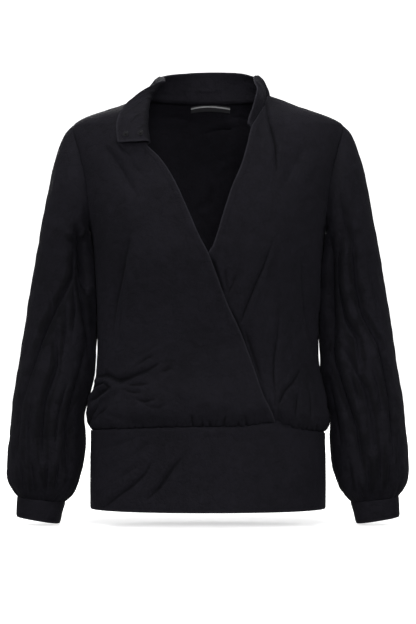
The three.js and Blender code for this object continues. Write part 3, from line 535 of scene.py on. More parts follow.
BAND_FOLDS = fold_table(
    (4.5, -3.2, 0.6, 1, (-164, -634), (-138, -612), (-116, -596), (-96, -577), (-84, -556)),
    (4.5, -3.4, 0.6, 1, (-96, -618), (-74, -597), (-56, -571), (-38, -548)),
    (4, -1.2, 0.5, 1, (-80, -604), (-62, -584)),
    (5, -1.2, 0.5, 1, (-166, -543), (-130, -530), (-102, -519)),
    (5, -1.2, 0.5, 1, (-140, -589), (-121, -574), (-102, -560)),
    (5, -1, 0.5, 1, (-128, -560), (-104, -540), (-84, -524)),
    (7, -0.9, 0.5, 1, (-22, -616), (2, -592), (18, -570)),
    (9, -0.8, 0.5, 1, (60, -600), (96, -570), (120, -548)),
    (4, -0.9, 0.5, 1, (-12, -519), (14, -521), (40, -517)),
)

BAND_BACK_FOLDS = fold_table(
    (7, -2, 0.5, 1, (150, -620), (112, -590), (80, -556)),
    (7, -1.8, 0.5, 1, (60, -610), (30, -578), (8, -546)),
    (8, -1.6, 0.5, 1, (-60, -600), (-96, -566), (-120, -546)),
)
print(len(RIGHT_FOLDS) + len(LEFT_FOLDS) + len(BACK_FOLDS), "folds on the body")

# %% [markdown]
# ## Black jersey
#
# Fine single jersey is a smooth knit: columns of tiny V-shaped stitches, about 14 to the centimetre. Black
# dye soaks up nearly all light, so what shows is a faint haze from the fibre ends, the folds, and a slight
# unevenness where the cloth has rubbed. The knit is worked out from the cloth's own texture
# coordinates, which are real lengths, and drives a small bump and a trace of colour. Two values that each
# mesh keeps at its points do the rest: how deep they lie in a fold, which darkens the colour there as
# painted shade, and how near to a free edge. Fine creases from a noise darken the colour too, as painted
# shade.


# %% Shader helper
class Socket:
    """A value in a node tree. Its operators add Math nodes, so shader maths reads as plain sums."""

    def __init__(self, tree, output):
        self.tree, self.output = tree, output

    def node(self, kind, settings=None, **inputs):
        """Adds a node: its settings are set first, then its sockets, by name or number."""
        made = self.tree.nodes.new(kind)
        for key, value in (settings or {}).items():
            setattr(made, key, value)
        for key, value in inputs.items():
            name = int(key[1:]) if key[0] == "_" and key[1:].isdigit() else key.replace("_", " ")
            socket = made.inputs[name]
            if isinstance(value, Socket):
                self.tree.links.new(value.output, socket)
            else:
                socket.default_value = value
        return made

    def take(self, made, output=0):
        """One of a node's outputs, wrapped in its turn."""
        return Socket(self.tree, made.outputs[output])

    def math(self, operation, *values):
        inputs = {f"_{k}": v for k, v in enumerate(values)}
        return self.take(self.node("ShaderNodeMath", {"operation": operation}, **inputs))

    def __add__(self, other):
        return self.math("ADD", self, other)

    def __radd__(self, other):
        return self.math("ADD", other, self)

    def __sub__(self, other):
        return self.math("SUBTRACT", self, other)

    def __rsub__(self, other):
        return self.math("SUBTRACT", other, self)

    def __mul__(self, other):
        return self.math("MULTIPLY", self, other)

    def __rmul__(self, other):
        return self.math("MULTIPLY", other, self)

    def __truediv__(self, other):
        return self.math("DIVIDE", self, other)

    def sin(self):
        return self.math("SINE", self)

    def fraction(self):
        return self.math("FRACT", self)

    def distance(self):
        return self.math("ABSOLUTE", self)

    def power(self, exponent):
        return self.math("POWER", self, exponent)

    def above(self, least):
        return self.math("MAXIMUM", self, least)

    def between(self, low, high):
        """0 below low and 1 above high, smooth in between."""
        smooth = {"interpolation_type": "SMOOTHSTEP"}
        return self.take(self.node("ShaderNodeMapRange", smooth, Value=self, From_Min=low, From_Max=high))

    def tint(self, low, high):
        """Mixes two colours by this value."""
        made = self.node("ShaderNodeMix", {"data_type": "RGBA"}, _0=self, _6=low, _7=high)
        return self.take(made, 2)

    def bump(self, strength, distance):
        """A normal that leans with this height."""
        made = self.node("ShaderNodeBump", {}, Strength=strength, Distance=distance, Height=self)
        return self.take(made)

    def drive(self, shader, name):
        """Feeds this value to one of the shader's sockets."""
        self.tree.links.new(self.output, shader.inputs[name])

    def object_coords(self):
        return self.take(self.node("ShaderNodeTexCoord"), 3)

    def attribute(self, name):
        return self.take(self.node("ShaderNodeAttribute", {"attribute_name": name}), 2)

    def cloth_lengths(self):
        """Lengths across and down the cloth, from its texture coordinates, in metres."""
        uv = self.take(self.node("ShaderNodeUVMap", {"uv_map": "cloth"}))
        apart = self.node("ShaderNodeSeparateXYZ", Vector=uv)
        return self.take(apart, 0), self.take(apart, 1)


def new_material(name, roughness, sheen=0.0, specular=0.05):
    """A material whose even values sit on the shader's own sockets. Returns it with its tree's root."""
    material = bpy.data.materials.new(name)
    material.use_nodes = True
    tree = material.node_tree
    shader = tree.nodes["Principled BSDF"]
    shader.inputs["Roughness"].default_value = roughness
    shader.inputs["Specular IOR Level"].default_value = specular
    shader.inputs["Sheen Weight"].default_value = sheen
    shader.inputs["Sheen Roughness"].default_value = 0.45
    shader.inputs["Sheen Tint"].default_value = (0.75, 0.74, 0.9, 1.0)
    return material, shader, Socket(tree, None)


def noise(root, coords, scale, detail=4.0):
    """Cloudy noise from 0 to 1 with so many finer layers."""
    made = root.node("ShaderNodeTexNoise", {}, Vector=coords, Scale=scale, Detail=detail, Roughness=0.55)
    return root.take(made)


# %% Jersey
SHEEN = 0.015
GAUGE = 0.00072  # metres between two columns of stitches
COURSE = 0.00056  # metres between two rows of stitches
CLOUD, WORN, FINE, CRUMPLE, CRINKLE = 9.0, 70.0, 260.0, 50.0, 120.0  # noise scales, from broad to fine
HUNG = (1.0, 1.0, 0.35)  # the small crinkles are longer up and down than across
PAINTED_FOLD_SHADE = 0.78  # painted shade in the folds: how much of the haze is taken out of the colour deep in a fold
PAINTED_CREASE_SHADE = 0.16  # painted shade along the fine creases: how much of the haze is taken out of the colour there
RUBBED_EDGE = (0.030, 0.029, 0.036, 1)
TWO_PI = 2 * np.pi


def jersey(name, dark, light, roughness, knit_depth):
    """Knit: in each column the stitch lines slant one way on its left half and the other on its right,
    so the height is a sine of the row's phase plus a tent of the column's phase. Colour goes from dark to
    light with a rubbed haze, and is paler on free edges. In hollows and along creases the haze is taken
    out of the colour: painted shade."""
    material, shader, root = new_material(name, roughness, SHEEN)
    across, down = root.cloth_lengths()
    column = (across / GAUGE).fraction()
    tent = (column - 0.5).distance() * 2.0
    stitch = ((down / COURSE + tent * 0.55) * TWO_PI).sin() * 0.5 + 0.5
    knit = stitch * 0.6 + (1 - tent.power(3.0)) * 0.8

    coords = root.object_coords()
    cloudy = noise(root, coords, CLOUD, 3.0)
    worn, fine = noise(root, coords, WORN), noise(root, coords, FINE)
    rubbed = (cloudy * 0.3 + worn * 0.3 + fine * 0.4).between(0.24, 0.74)
    # painted shade: deep in folds (the hollow attribute) and along fine creases from a noise, the haze is
    # taken out of the colour
    deep = root.attribute("hollow").between(0.2, 1.15)
    lines = (1 - (noise(root, coords, CRUMPLE, 3.0) - 0.5).distance() * 14.0).above(0.0)
    haze_and_painted_shade = (rubbed * 0.8 + knit * 0.15) * (1 - deep * PAINTED_FOLD_SHADE) * (1 - lines * PAINTED_CREASE_SHADE)
    edge = root.attribute("rim") * (0.3 + fine * 0.5)
    edge.tint(haze_and_painted_shade.tint(dark, light), RUBBED_EDGE).drive(shader, "Base Color")
    (roughness - 0.08 + rubbed * 0.12).drive(shader, "Roughness")
    hanging = root.node("ShaderNodeVectorMath", {"operation": "MULTIPLY"}, _0=coords, _1=HUNG)
    crinkle = noise(root, root.take(hanging), CRINKLE)
    height = knit * knit_depth + fine * 0.00007 + crinkle * 0.0009 - lines * 0.00035
    height.bump(1.0, 1.0).drive(shader, "Normal")
    return material


BLACK_JERSEY = jersey(
    "black jersey", (0.0031, 0.0030, 0.0040, 1), (0.0113, 0.0106, 0.0146, 1), 0.74, 0.00010
)
FIRM_JERSEY = jersey(
    "doubled black jersey", (0.0032, 0.0031, 0.0042, 1), (0.0120, 0.0112, 0.0154, 1), 0.70, 0.00009
)
print("materials:", len(bpy.data.materials))

# %% [markdown]
# ## Floor and tent
#
# The floor is a white disc and the tent over it is half a ball of plain white cloth, which glows evenly as
# if lit through from outside, wide enough that every camera stands inside it. The floor glows too, but
# less just behind the hem: a painted shadow. Neither throws light back on the blouse, so that its folds
# keep their shading.


# %% Floor and tent
TENT_RADIUS = 16.0
HOLE = 0.001  # radius of the first ring, so that no faces meet in one point
UNDER_HEM = 0.42  # how much the floor glows in the deepest part of its painted shadow
# place, squash and span of the painted shadow in the floor's glow
SHADE_SHIFT = (0.0, -0.12, 0.0)
SHADE_SCALE = (0.5, 1.0, 0.0)
SHADE_SPAN = (0.06, 0.26)


def spun_mesh(name, grid, material):
    """A smooth mesh of a grid whose rows close round an axis, its faces turned the other way round than
    a cloth grid's."""
    faces = grid_faces(*grid.shape[:2], True)[0][:, [0, 3, 2, 1]]
    mesh = bpy.data.meshes.new(name)
    mesh.from_pydata(grid.reshape(-1, 3).tolist(), [], faces.tolist())
    mesh.materials.append(material)
    mesh.polygons.foreach_set("use_smooth", np.ones(len(faces), bool))
    return mesh


def turned_stage(name, radius, height, material, sides=96):
    """A profile of radii and heights, spun about the vertical axis through the origin."""
    spin = np.linspace(0, TWO_PI, sides, endpoint=False)
    radius, height = np.asarray(radius, float)[:, None], np.asarray(height, float)[:, None]
    grid = np.stack((radius * np.cos(spin), radius * np.sin(spin), height + 0 * spin), axis=-1)
    piece = bpy.data.objects.new(name, spun_mesh(name, grid, material))
    scene.collection.objects.link(piece)
    piece.visible_diffuse = piece.visible_glossy = piece.visible_shadow = False


def white_cloth(name, near, far):
    """White paint whose own glow grows from near to far with the distance from the blouse. On the floor
    this is a painted shadow: dimmest behind the hem, where the blouse stands in the way of the light from
    the front."""
    material, shader, root = new_material(name, 0.9, 0.0, 0.1)
    place = root.object_coords()
    paint = noise(root, place, 3.0, 2.0).tint((0.90, 0.90, 0.90, 1), (0.92, 0.92, 0.925, 1))
    paint.drive(shader, "Base Color")
    # painted shadow: the glow falls from far to near inside an oval just behind the hem
    behind = root.node("ShaderNodeMapping", {}, Vector=place, Location=SHADE_SHIFT, Scale=SHADE_SCALE)
    length = root.node("ShaderNodeVectorMath", {"operation": "LENGTH"}, _0=root.take(behind))
    glow = root.take(length, 1).between(*SHADE_SPAN).tint((near,) * 3 + (1,), (far,) * 3 + (1,))
    glow.drive(shader, "Emission Color")
    shader.inputs["Emission Strength"].default_value = 1.0
    return material


bend = np.linspace(0, np.pi / 2, 25)
floor_rings = [HOLE, 0.5, 1.0, 2.0, 4.0, 8.0, TENT_RADIUS]
turned_stage("floor", floor_rings, [FLOOR_Z] * 7, white_cloth("floor glow with painted shadow", UNDER_HEM, 1.0))
tent_rings, tent_heights = TENT_RADIUS * np.cos(bend) + HOLE, FLOOR_Z + TENT_RADIUS * np.sin(bend)
turned_stage("tent", tent_rings, tent_heights, white_cloth("tent cloth", 1.0, 1.0))
print("floor at", FLOOR_Z)

# %% [markdown]
# ## Back and fronts
#
# Each panel is a grid: one parameter runs up the body, following the armhole where there is one, and the
# other runs round it from seam to seam or from seam to free edge. Along the seams the cloth dips a little,
# as a sewn seam pulls it in, and along a free edge it is turned under and stands slightly thicker.

# %% Body panels
LOWER_ROWS = 140
ARM_ROWS = 58
SHOULDER_ROWS = 14
SEAM_BLEND = 70.0
WAIST_ROW = -515.0
ARMHOLE_MIDDLE = (TIP_Z + ARMPIT_Z) / 2
ARMHOLE_REACH = (TIP_Z - ARMPIT_Z) / 2
PANEL_COLUMNS = 188
# a free edge is an axis of the grid, 0 for rows and 1 for columns, and whether it is the last of them
FIRST_ROW, LAST_ROW, FIRST_COLUMN, LAST_COLUMN = (0, False), (0, True), (1, False), (1, True)
JERSEY = ("jersey", 1.2, BLACK_JERSEY)  # slot, thickness in millimetres, material
FIRM = ("firm_jersey", 1.8, FIRM_JERSEY)
TURNING = 0.7
# columns: seed, count, span along the waist, reach up from it, width, depth
CROSSING_GATHERS = (11, 8, (-20, 60), 16, 2.2, -2.6)
RIGHT_GATHERS = (12, 26, (-160, 96), 7, 2.0, -1.6)
LEFT_GATHERS = (13, 18, (92, 180), 13, 2.2, -2.2)
BACK_GATHERS = (17, 34, (-165, 165), 13, 2.8, -1.2)
FRONT_SEED, FRONT_FINE_SEED, BACK_SEED, BACK_FINE_SEED = 3, 7, 5, 8
LAP_AIR = 1.6  # between the two fronts where one lies over the other
LAP_GROOVE = 3.8  # how deep the lower front falls beside the upper one's edge
LAP_TOP = (-262, -246)  # heights over which that groove ends, at the crossing
LAP_PRESSED = (-350, -322, -312, -296)  # heights between which the edge lies close again

lower_rows = np.linspace(WAIST_ROW, ARMPIT_Z, LOWER_ROWS, endpoint=False)
arm_rows = ARMHOLE_MIDDLE - ARMHOLE_REACH * np.cos(np.linspace(0, np.pi, ARM_ROWS))
shoulder_rows = np.linspace(TIP_Z, NECK_Z, SHOULDER_ROWS + 1)[1:]
row_z = np.concatenate((lower_rows, arm_rows, shoulder_rows))
in_armhole = np.clip(1 - ((row_z - ARMHOLE_MIDDLE) / ARMHOLE_REACH) ** 2, 0, 1)
row_open = np.sqrt(in_armhole) * ((row_z >= ARMPIT_Z) & (row_z <= TIP_Z))


def wrapped(turn):
    """The same angle between -180 and 180 degrees."""
    return (turn + 180) % 360 - 180


def row_heights(turn):
    """Height of each row at an angle: the lowest follows the waist seam and those above straighten."""
    seam = waist_seam_at(wrapped(turn)) + SEAM_GAP - WAIST_ROW
    z = row_z[:, None]
    return z + seam * (1 - smoothstep(z, WAIST_ROW, WAIST_ROW + SEAM_BLEND))


def dip(distance, depth=0.8, width=2.2):
    """A seam's groove: a bell across the distance from it."""
    return -depth * np.exp(-((distance / width) ** 2))


def turned_edge(distance):
    """A free edge: the turning under it stands proud over its width and the last of it rounds off."""
    return TURNING * (smoothstep(distance, 0.0, 1.6) - smoothstep(distance, 9.0, 12.0))


def calmed(folds, from_side):
    """Folds with a quarter of their depth at a side seam and all of it 14 mm away, and the seam's dip."""
    return folds * (0.25 + 0.75 * smoothstep(from_side, 0, 14)) + dip(from_side, 0.4)


def panel_grid(start, end, height):
    """Grid of a panel between two angles that each row gives: the plain body, moved out along its
    normal by a height worked out from the place and the distances to the panel's own ends."""
    share = np.linspace(0, 1, PANEL_COLUMNS + 1)[None, :]
    turn = start[:, None] * (1 - share) + end[:, None] * share
    z = row_heights(turn)
    section = row_z[:, None] + 0 * turn
    points = body(turn, section)
    points[..., 2] += z - section
    run = run_from_start(points, 1)
    above_waist = z - waist_seam_at(wrapped(turn))
    lift = height(points[..., 0], z, run, run[:, -1:] - run, above_waist)
    return points + body_normal(turn, section) * lift[..., None]


def right_height(x, z, from_side, from_edge, above_waist):
    """Upper front: folds, ripples, gathers under the crossing and along the waist, seams, turned edge."""
    folds = folds_at(x, z, RIGHT_FOLDS) + ripple(x, z, FRONT_SEED)
    folds += gathers_at(x, above_waist, *CROSSING_GATHERS)
    folds += gathers_at(x, above_waist, *RIGHT_GATHERS)
    folds += fine_ripple(x, z, FRONT_FINE_SEED)
    return calmed(folds, from_side) + dip(above_waist) + turned_edge(from_edge)


def left_height(x, z, from_edge, from_side, above_waist):
    """Lower front: its own folds where it shows. Past the upper front's edge it follows that front's folds
    from below, a cloth's thickness and some air further in."""
    past = x - right_edge_at(z)
    own = smoothstep(past, 1, 8)
    under = 1 - smoothstep(past, 12, 70)
    folds = folds_at(x, z, LEFT_FOLDS) * own + folds_at(x, z, RIGHT_FOLDS) * (1 - own)
    folds += ripple(x, z, FRONT_SEED)
    folds += gathers_at(x, above_waist, *LEFT_GATHERS) * own
    folds += fine_ripple(x, z, FRONT_FINE_SEED)
    lift = calmed(folds, from_side) + dip(above_waist)
    beside = np.exp(-(((past - 0.5) / 3.4) ** 2)) * (1 - smoothstep(z, *LAP_TOP))
    open_low = 1 - smoothstep(z, *LAP_PRESSED[:2])
    open_high = smoothstep(z, *LAP_PRESSED[2:])
    lift -= LAP_GROOVE * beside * (0.25 + 0.75 * np.maximum(open_low, open_high))
    return lift + turned_edge(from_edge) * own - under * (CLOTH + LAP_AIR)


def back_height(x, z, from_left, from_right, above_waist):
    """Back: folds, ripples, gathers all along the waist, and a dip at every seam."""
    folds = folds_at(x, z, BACK_FOLDS) + ripple(x, z, BACK_SEED)
    folds += gathers_at(x, above_waist, *BACK_GATHERS)
    folds += fine_ripple(x, z, BACK_FINE_SEED)
    sides = np.minimum(from_left, from_right)
    return calmed(folds, sides) + dip(above_waist) + dip(NECK_Z - z, 0.5)


front_side = 90 - ARMHOLE_FRONT * row_open
back_side = 90 + ARMHOLE_BACK * row_open
right_edge_turn = turn_at(right_edge_at(row_z), row_z)
left_edge_turn = turn_at(left_edge_at(row_z), row_z)

right_grid = panel_grid(-front_side, right_edge_turn, right_height)
left_grid = panel_grid(left_edge_turn, front_side, left_height)
back_grid = panel_grid(back_side, 360 - back_side, back_height)
right_grid[:, 0, 1] -= SEAM_GAP / 2
left_grid[:, -1, 1] -= SEAM_GAP / 2
back_grid[:, (0, -1), 1] += SEAM_GAP / 2


def cloth_piece(name, node, grid, flat, held, area=None, free_edges=(), closed=False, kind=JERSEY):
    """A cloth shell that replaces its solid. flat, the size it was cut to, is not used. free_edges are the
    ends of its grid where it isn't sewn on, and kind is its slot, which is not used, its thickness and its
    material."""
    slot, thickness, material = kind
    piece = sheet_mesh(name, grid, closed, thickness, material, free_edges)
    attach(piece, "root")
    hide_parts(node)
    wide = wrapped_round(grid, closed)
    cells = np.cross(wide[1:, :-1] - wide[:-1, :-1], wide[:-1, 1:] - wide[:-1, :-1])
    print(f"{name}: {np.linalg.norm(cells, axis=-1).sum() / 1e6:.3f} square metres")


cloth_piece("back_cloth", "back", back_grid, (0.51, 0.53), "hung", 0.235)
cloth_piece("front_right_cloth", "front_right", right_grid, (0.36, 0.59), "hung", 0.127, [LAST_COLUMN])
cloth_piece("front_left_cloth", "front_left", left_grid, (0.36, 0.59), "hung", 0.127, [FIRST_COLUMN])

# %% [markdown]
# ## Waistband
#
# The band is doubled and fits closely, so it stays nearly smooth, with a few shallow slanting folds where
# it turns round the hip. It is two pieces, seamed at the sides. Its lower edge is a fold, so it is soft
# and rounded. Its upper edge runs on behind the blouse as a seam allowance, which closes the seam.

# %% Waistband
BAND_TOP_SECTION = -516.0  # above this the band stays as wide as here, inside the blousing
TUCKED = 4.0  # the seam allowance, which goes on up behind the blouse
TUCKED_IN = 3.2  # how far inside the blouse it lies
BAND_ROWS = 60
BAND_COLUMNS = 150


def band_grid(start, end, folds, seed):
    """Grid of half the band: the body's oval, kept upright, moved out by its folds, with both edges
    rounded in and a dip at each side seam."""
    share = np.linspace(0, 1, BAND_COLUMNS + 1)[None, :]
    turn = start * (1 - share) + end * share + np.zeros((BAND_ROWS + 1, 1))
    top = waist_seam_at(wrapped(turn)) - SEAM_GAP / 2
    up = np.linspace(0, 1, BAND_ROWS + 1)[:, None]
    z = HEM_Z * (1 - up) + (top + TUCKED) * up
    section = np.minimum(z, BAND_TOP_SECTION)
    points = body(turn, section)
    normal = body_normal(turn, section)
    normal[..., 2] = 0
    x = points[..., 0]
    run = run_from_start(points, 1)
    sides = np.minimum(run, run[:, -1:] - run)
    lift = folds_at(x, z, folds) + ripple(x, z, seed, 0.35) * smoothstep(sides, 0, 20)
    lift += dip(sides, 0.7) + dip(z - HEM_Z, 0.7, 1.6)
    lift -= TUCKED_IN * smoothstep(z - top, -1.6, 1.2)
    points[..., 2] = z
    return points + unit(normal) * lift[..., None]


front_band = band_grid(-90, 90, BAND_FOLDS, 21)
back_band = band_grid(90, 270, BAND_BACK_FOLDS, 22)
front_band[:, (0, -1), 1] -= SEAM_GAP / 2
back_band[:, (0, -1), 1] += SEAM_GAP / 2
BAND = dict(held="stretched", free_edges=[FIRST_ROW], kind=FIRM)
cloth_piece("waistband_front_cloth", "waistband_front", front_band, (0.485, 0.13), **BAND)
cloth_piece("waistband_back_cloth", "waistband_back", back_band, (0.47, 0.125), **BAND)

# %% [markdown]
# ## Sleeves
#
# A full sleeve hangs from the armhole and is gathered into its cuff, over which it blouses. It is a stack
# of ovals whose ends in the front view come from a table, and its first ring is the armhole itself.
# Long folds run down it from under the armpit, where the cloth falls into a deep hollow.

# %% Sleeve tables
# columns: outer end x and z, inner end x and z, half depth, middle y, from the armhole to the cuff
SLEEVE = np.array([
    (209, -43, 183, -205, 52, 0), (221, -56, 185.2, -206.5, 56, 1),
    (231, -80, 185, -209, 59, 2), (240, -110, 182.5, -213, 60, 4),
    (248, -150, 178, -220, 60, 6), (257, -198, 176, -234, 59, 8),
    (266, -248, 171, -262, 57, 10), (273.5, -290, 168, -300, 56, 12),
    (280.5, -333, 170, -343, 56, 14), (287.5, -378, 176.5, -388, 57, 14),
    (293.5, -418, 180.5, -428, 58, 14), (299, -452, 187, -462, 59, 14),
    (303.5, -484, 194.5, -494, 60, 14), (307, -517, 192, -527, 60, 13),
    (310, -548, 193, -557, 59, 12), (311, -574, 198, -584, 56, 11),
    (309, -592, 204, -602, 52, 10), (303, -606, 212, -615, 45, 10),
    (295, -616.5, 222.5, -625, 36, 10),
])
LAST_RING = len(SLEEVE) - 1
DENSE_FROM = 13  # the ring below which the grid's rows lie closer together
ARMHOLE_FADE = 5.0  # rings over which the armhole's form turns into the plain oval
ARMHOLE_STEP, CUFF_STEP = 12.0, 14.0  # millimetres from ring to ring, at the armhole and at the cuff
GATHERED_GIRTH = 2 * np.pi * 44
WHOLE = (0, GATHERED_GIRTH)
# columns: count, span round the sleeve, reach along it, width, depth
CUFF_GATHERS = (19, WHOLE, 30, 3.2, -3.0)
ARMHOLE_GATHERS = (16, WHOLE, 12, 4.0, -0.9)
SLEEVE_ROUNDNESS = 2 / 2.5
SLEEVE_AIR = 2.2

# columns as for the body. Paths are distance from the body's middle and height, on one half of a sleeve
RIGHT_SLEEVE_FOLDS = fold_table(
    (11, -24, 0.1, 1, (201, -204), (196, -228), (191, -258), (186, -300)),
    (5, 5, 0.2, 1, (188, -204), (191, -216), (198, -226)),
    (6, 4, 0, 1, (217, -212), (206, -224)),
    (4.5, -8, 0.3, 1, (204, -236), (207, -279), (234, -328), (257, -379), (276, -436), (288, -478)),
    (4.5, -8.5, 0.3, 1, (230, -356), (231, -416), (249, -466), (254, -512), (253, -570)),
    (6, -10, 0.3, 1, (187, -380), (196, -430), (207, -466), (215, -512), (214, -580)),
    (5, -8, 0.1, 1, (201, -270), (190, -328), (184, -364), (182, -400)),
    (3.5, -3.5, 0.5, 1, (206, -290), (203, -330), (208, -366)),
    (3.5, -3, 0.5, 1, (216, -320), (218, -366), (222, -404)),
    (3.5, -2.5, 0.5, 1, (240, -290), (238, -318), (246, -350)),
    (4, -4.5, 0.3, 1, (216, -440), (228, -486), (234, -540)),
    (4.5, -5.5, 0.3, 1, (288, -466), (292, -517), (298, -572)),
    (3.5, -3.5, 0.5, 1, (268, -450), (276, -502), (277, -560)),
    (3.5, -6, 0.5, 1, (246, -560), (247, -610)),
    (3.5, -5, 0.5, 1, (290, -560), (284, -606)),
    (3.5, -5, 0.5, 1, (228, -560), (233, -606)),
    (3.5, -5, 0.5, 1, (270, -562), (267, -608)),
    (14, -2.5, 0.3, 1, (246, -90), (240, -150), (236, -200)),
)
LEFT_SLEEVE_FOLDS = fold_table(
    (9, -21, 0.1, 1, (188, -222), (187, -262), (187, -310), (190, -372)),
    (4.5, -9, 0.3, 1, (205, -212), (199, -250), (198, -290), (210, -344), (228, -375), (234, -424)),
    (4.5, -4, 0.3, 1, (203, -150), (206, -185), (213, -216), (212, -246)),
    (4.5, -8, 0.3, 1, (222, -190), (222, -244), (226, -290), (236, -336), (262, -382), (272, -424)),
    (4.5, -7, 0.3, 1, (262, -376), (271, -421), (279, -466), (282, -512), (285, -566)),
    (5.5, -11, 0.3, 1, (189, -329), (192, -405), (212, -466), (227, -512), (236, -574)),
    (4.5, -7, 0.3, 1, (210, -392), (226, -424), (241, -454), (251, -497), (256, -548)),
    (5, -7, 0.3, 1, (190, -440), (198, -490), (204, -540)),
    (3.5, -3, 0.5, 1, (245, -250), (254, -300), (266, -346)),
    (3.5, -4, 0.5, 1, (216, -420), (230, -470)),
    (3.5, -4, 0.5, 1, (248, -410), (260, -446), (266, -490)),
    (3.5, -5, 0.5, 1, (265, -530), (264, -608)),
    (3.5, -5, 0.5, 1, (216, -560), (221, -608)),
    (3.5, -5, 0.5, 1, (246, -560), (247, -612)),
    (3.5, -4, 0.5, 1, (279, -556), (277, -606)),
    (3.5, -3, 0.5, 1, (292, -520), (293, -580)),
)
BACK_SLEEVE_FOLDS = fold_table(
    (8, -8, 0.3, 1, (196, -225), (206, -290), (214, -340)),
    (9, -5, 0.3, 1, (222, -200), (226, -290), (232, -380)),
    (7, -5, 0.3, 1, (214, -350), (222, -430), (228, -540)),
    (7, -5, 0.3, 1, (250, -360), (262, -450), (266, -560)),
    (6, -4, 0.3, 1, (276, -440), (288, -520), (290, -580)),
    (6, -4, 0.3, 1, (240, -430), (244, -520), (246, -600)),
)

sleeve_curves = [table_curve(np.arange(len(SLEEVE)), column) for column in SLEEVE.T]


def section_point(values, turn):
    """Point of an oval section: 0 degrees is its outer end, 90 the front, 180 the inner end."""
    outer_x, outer_z, inner_x, inner_z, depth, middle = values
    across, ahead = np.cos(np.radians(turn)), np.sin(np.radians(turn))
    share = (1 + np.sign(across) * np.abs(across) ** SLEEVE_ROUNDNESS) / 2
    return np.stack(
        (
            inner_x + (outer_x - inner_x) * share,
            middle - depth * np.sign(ahead) * np.abs(ahead) ** SLEEVE_ROUNDNESS,
            inner_z + (outer_z - inner_z) * share,
        ),
        axis=-1,
    )


def oval_rings(curves, ring, angle):
    """Values, points and outward directions of the ovals whose ends a table's curves give."""
    values = [curve(ring) for curve in curves]
    plain = section_point(values, angle)
    middle = (section_point(values, 0 * angle) + section_point(values, 0 * angle + 180)) / 2
    return values, plain, unit(plain - middle)


def beside_body(points):
    """Moves the points of the left-hand sleeve out until they clear the side of the body, where the
    sleeve hangs against it."""
    y, z = points[..., 1], np.clip(points[..., 2], WAIST_ROW, ARMPIT_Z)
    depth = np.where(y < 0, front_at(z), back_at(z))
    share = np.clip(1 - np.abs(y / depth) ** (2 / ROUNDNESS), 0, 1)
    nearest = side_at(z) * share ** (ROUNDNESS / 2) + SLEEVE_AIR
    below = smoothstep(ARMPIT_Z - points[..., 2], 0, 12)
    cleared = points.copy()
    cleared[..., 0] += np.maximum(nearest - points[..., 0], 0) * below
    return cleared


def armhole_points(turn):
    """The armhole's seam as the sleeve meets it: at an angle round it, its height is the middle plus its
    reach times the cosine, and the body panels' own cut gives the rest."""
    z = ARMHOLE_MIDDLE + ARMHOLE_REACH * np.cos(np.radians(turn))
    opened = np.abs(np.sin(np.radians(turn)))
    on_front = turn <= 180
    round_body = np.where(on_front, 90 - ARMHOLE_FRONT * opened, 90 + ARMHOLE_BACK * opened)
    point, normal = body(round_body, z), body_normal(round_body, z)
    middle = np.array([side_at(ARMHOLE_MIDDLE), 0.0, ARMHOLE_MIDDLE])
    inwards = middle - point
    inwards = unit(inwards - np.sum(inwards * normal, axis=-1, keepdims=True) * normal)
    low = ((1 - np.cos(np.radians(turn))) / 2)[..., None]
    return point + inwards * SEAM_GAP + normal * (SEAM_GAP * low - 0.5)


def sleeve_grid(front_folds, press, seed):
    """Grid of the left-hand sleeve: plain ovals, drawn to the armhole over the first rings, moved out
    from each oval's middle by the folds and by gathers that grow towards the cuff. press is the height,
    reach and size of the bulge on the side next to the body."""
    sparse = np.linspace(0, DENSE_FROM, 126, endpoint=False)
    rings = np.concatenate((sparse, np.linspace(DENSE_FROM, LAST_RING, 54)))
    ring, angle = np.meshgrid(rings, np.arange(0, 360, 1.5), indexing="ij")
    values, plain, outward = oval_rings(sleeve_curves, ring, angle)
    fade = (1 - smoothstep(ring, 0, ARMHOLE_FADE))[..., None]
    first = section_point([column[0] for column in SLEEVE.T], angle)
    form = plain + (armhole_points(angle) - first) * fade

    facing = np.sin(np.radians(angle))
    x, z = form[..., 0], form[..., 2]
    front = folds_at(x, z, front_folds) * smoothstep(facing, -0.1, 0.3)
    back = folds_at(x, z, BACK_SLEEVE_FOLDS) * smoothstep(-facing, 0.0, 0.45)
    size = np.hypot(values[4], (values[0] - values[2]) / 2) / np.sqrt(2)
    round_it = np.radians(angle) * size
    from_armhole, to_cuff = ring * ARMHOLE_STEP, (LAST_RING - ring) * CUFF_STEP
    across = angle / 360 * GATHERED_GIRTH
    gathers = gathers_at(across, to_cuff, seed, *CUFF_GATHERS)
    pulled = gathers_at(across, from_armhole, seed + 1, *ARMHOLE_GATHERS)
    seam = dip(from_armhole, 0.3, 3.0)
    away = smoothstep(ring, 0.0, 2.0)
    lift = (front + back + ripple(round_it, z, seed, 0.6)) * away + gathers + pulled * away + seam
    lift += fine_ripple(round_it, z * 0.6, seed + 2, 0.3) * away
    height, reach, bulge = press
    lift += bulge * np.exp(-(((angle - 180) / 55) ** 2)) * np.exp(-(((z - height) / reach) ** 2))
    return beside_body(form + outward * lift[..., None])


def mirrored(grid):
    """The same grid on the other side, with its columns turned round so that it still faces out."""
    return (grid * np.array([-1.0, 1.0, 1.0]))[:, ::-1]


left_sleeve = sleeve_grid(LEFT_SLEEVE_FOLDS, (-455, 62, 6.0), 31)[::-1]
right_sleeve = mirrored(sleeve_grid(RIGHT_SLEEVE_FOLDS, (-430, 45, 3.5), 41)[::-1])
SLEEVE_CUT = dict(flat=(0.42, 0.62), held="gathered", area=0.205, closed=True)
cloth_piece("sleeve_left_cloth", "sleeve_left", left_sleeve, **SLEEVE_CUT)
cloth_piece("sleeve_right_cloth", "sleeve_right", right_sleeve, **SLEEVE_CUT)

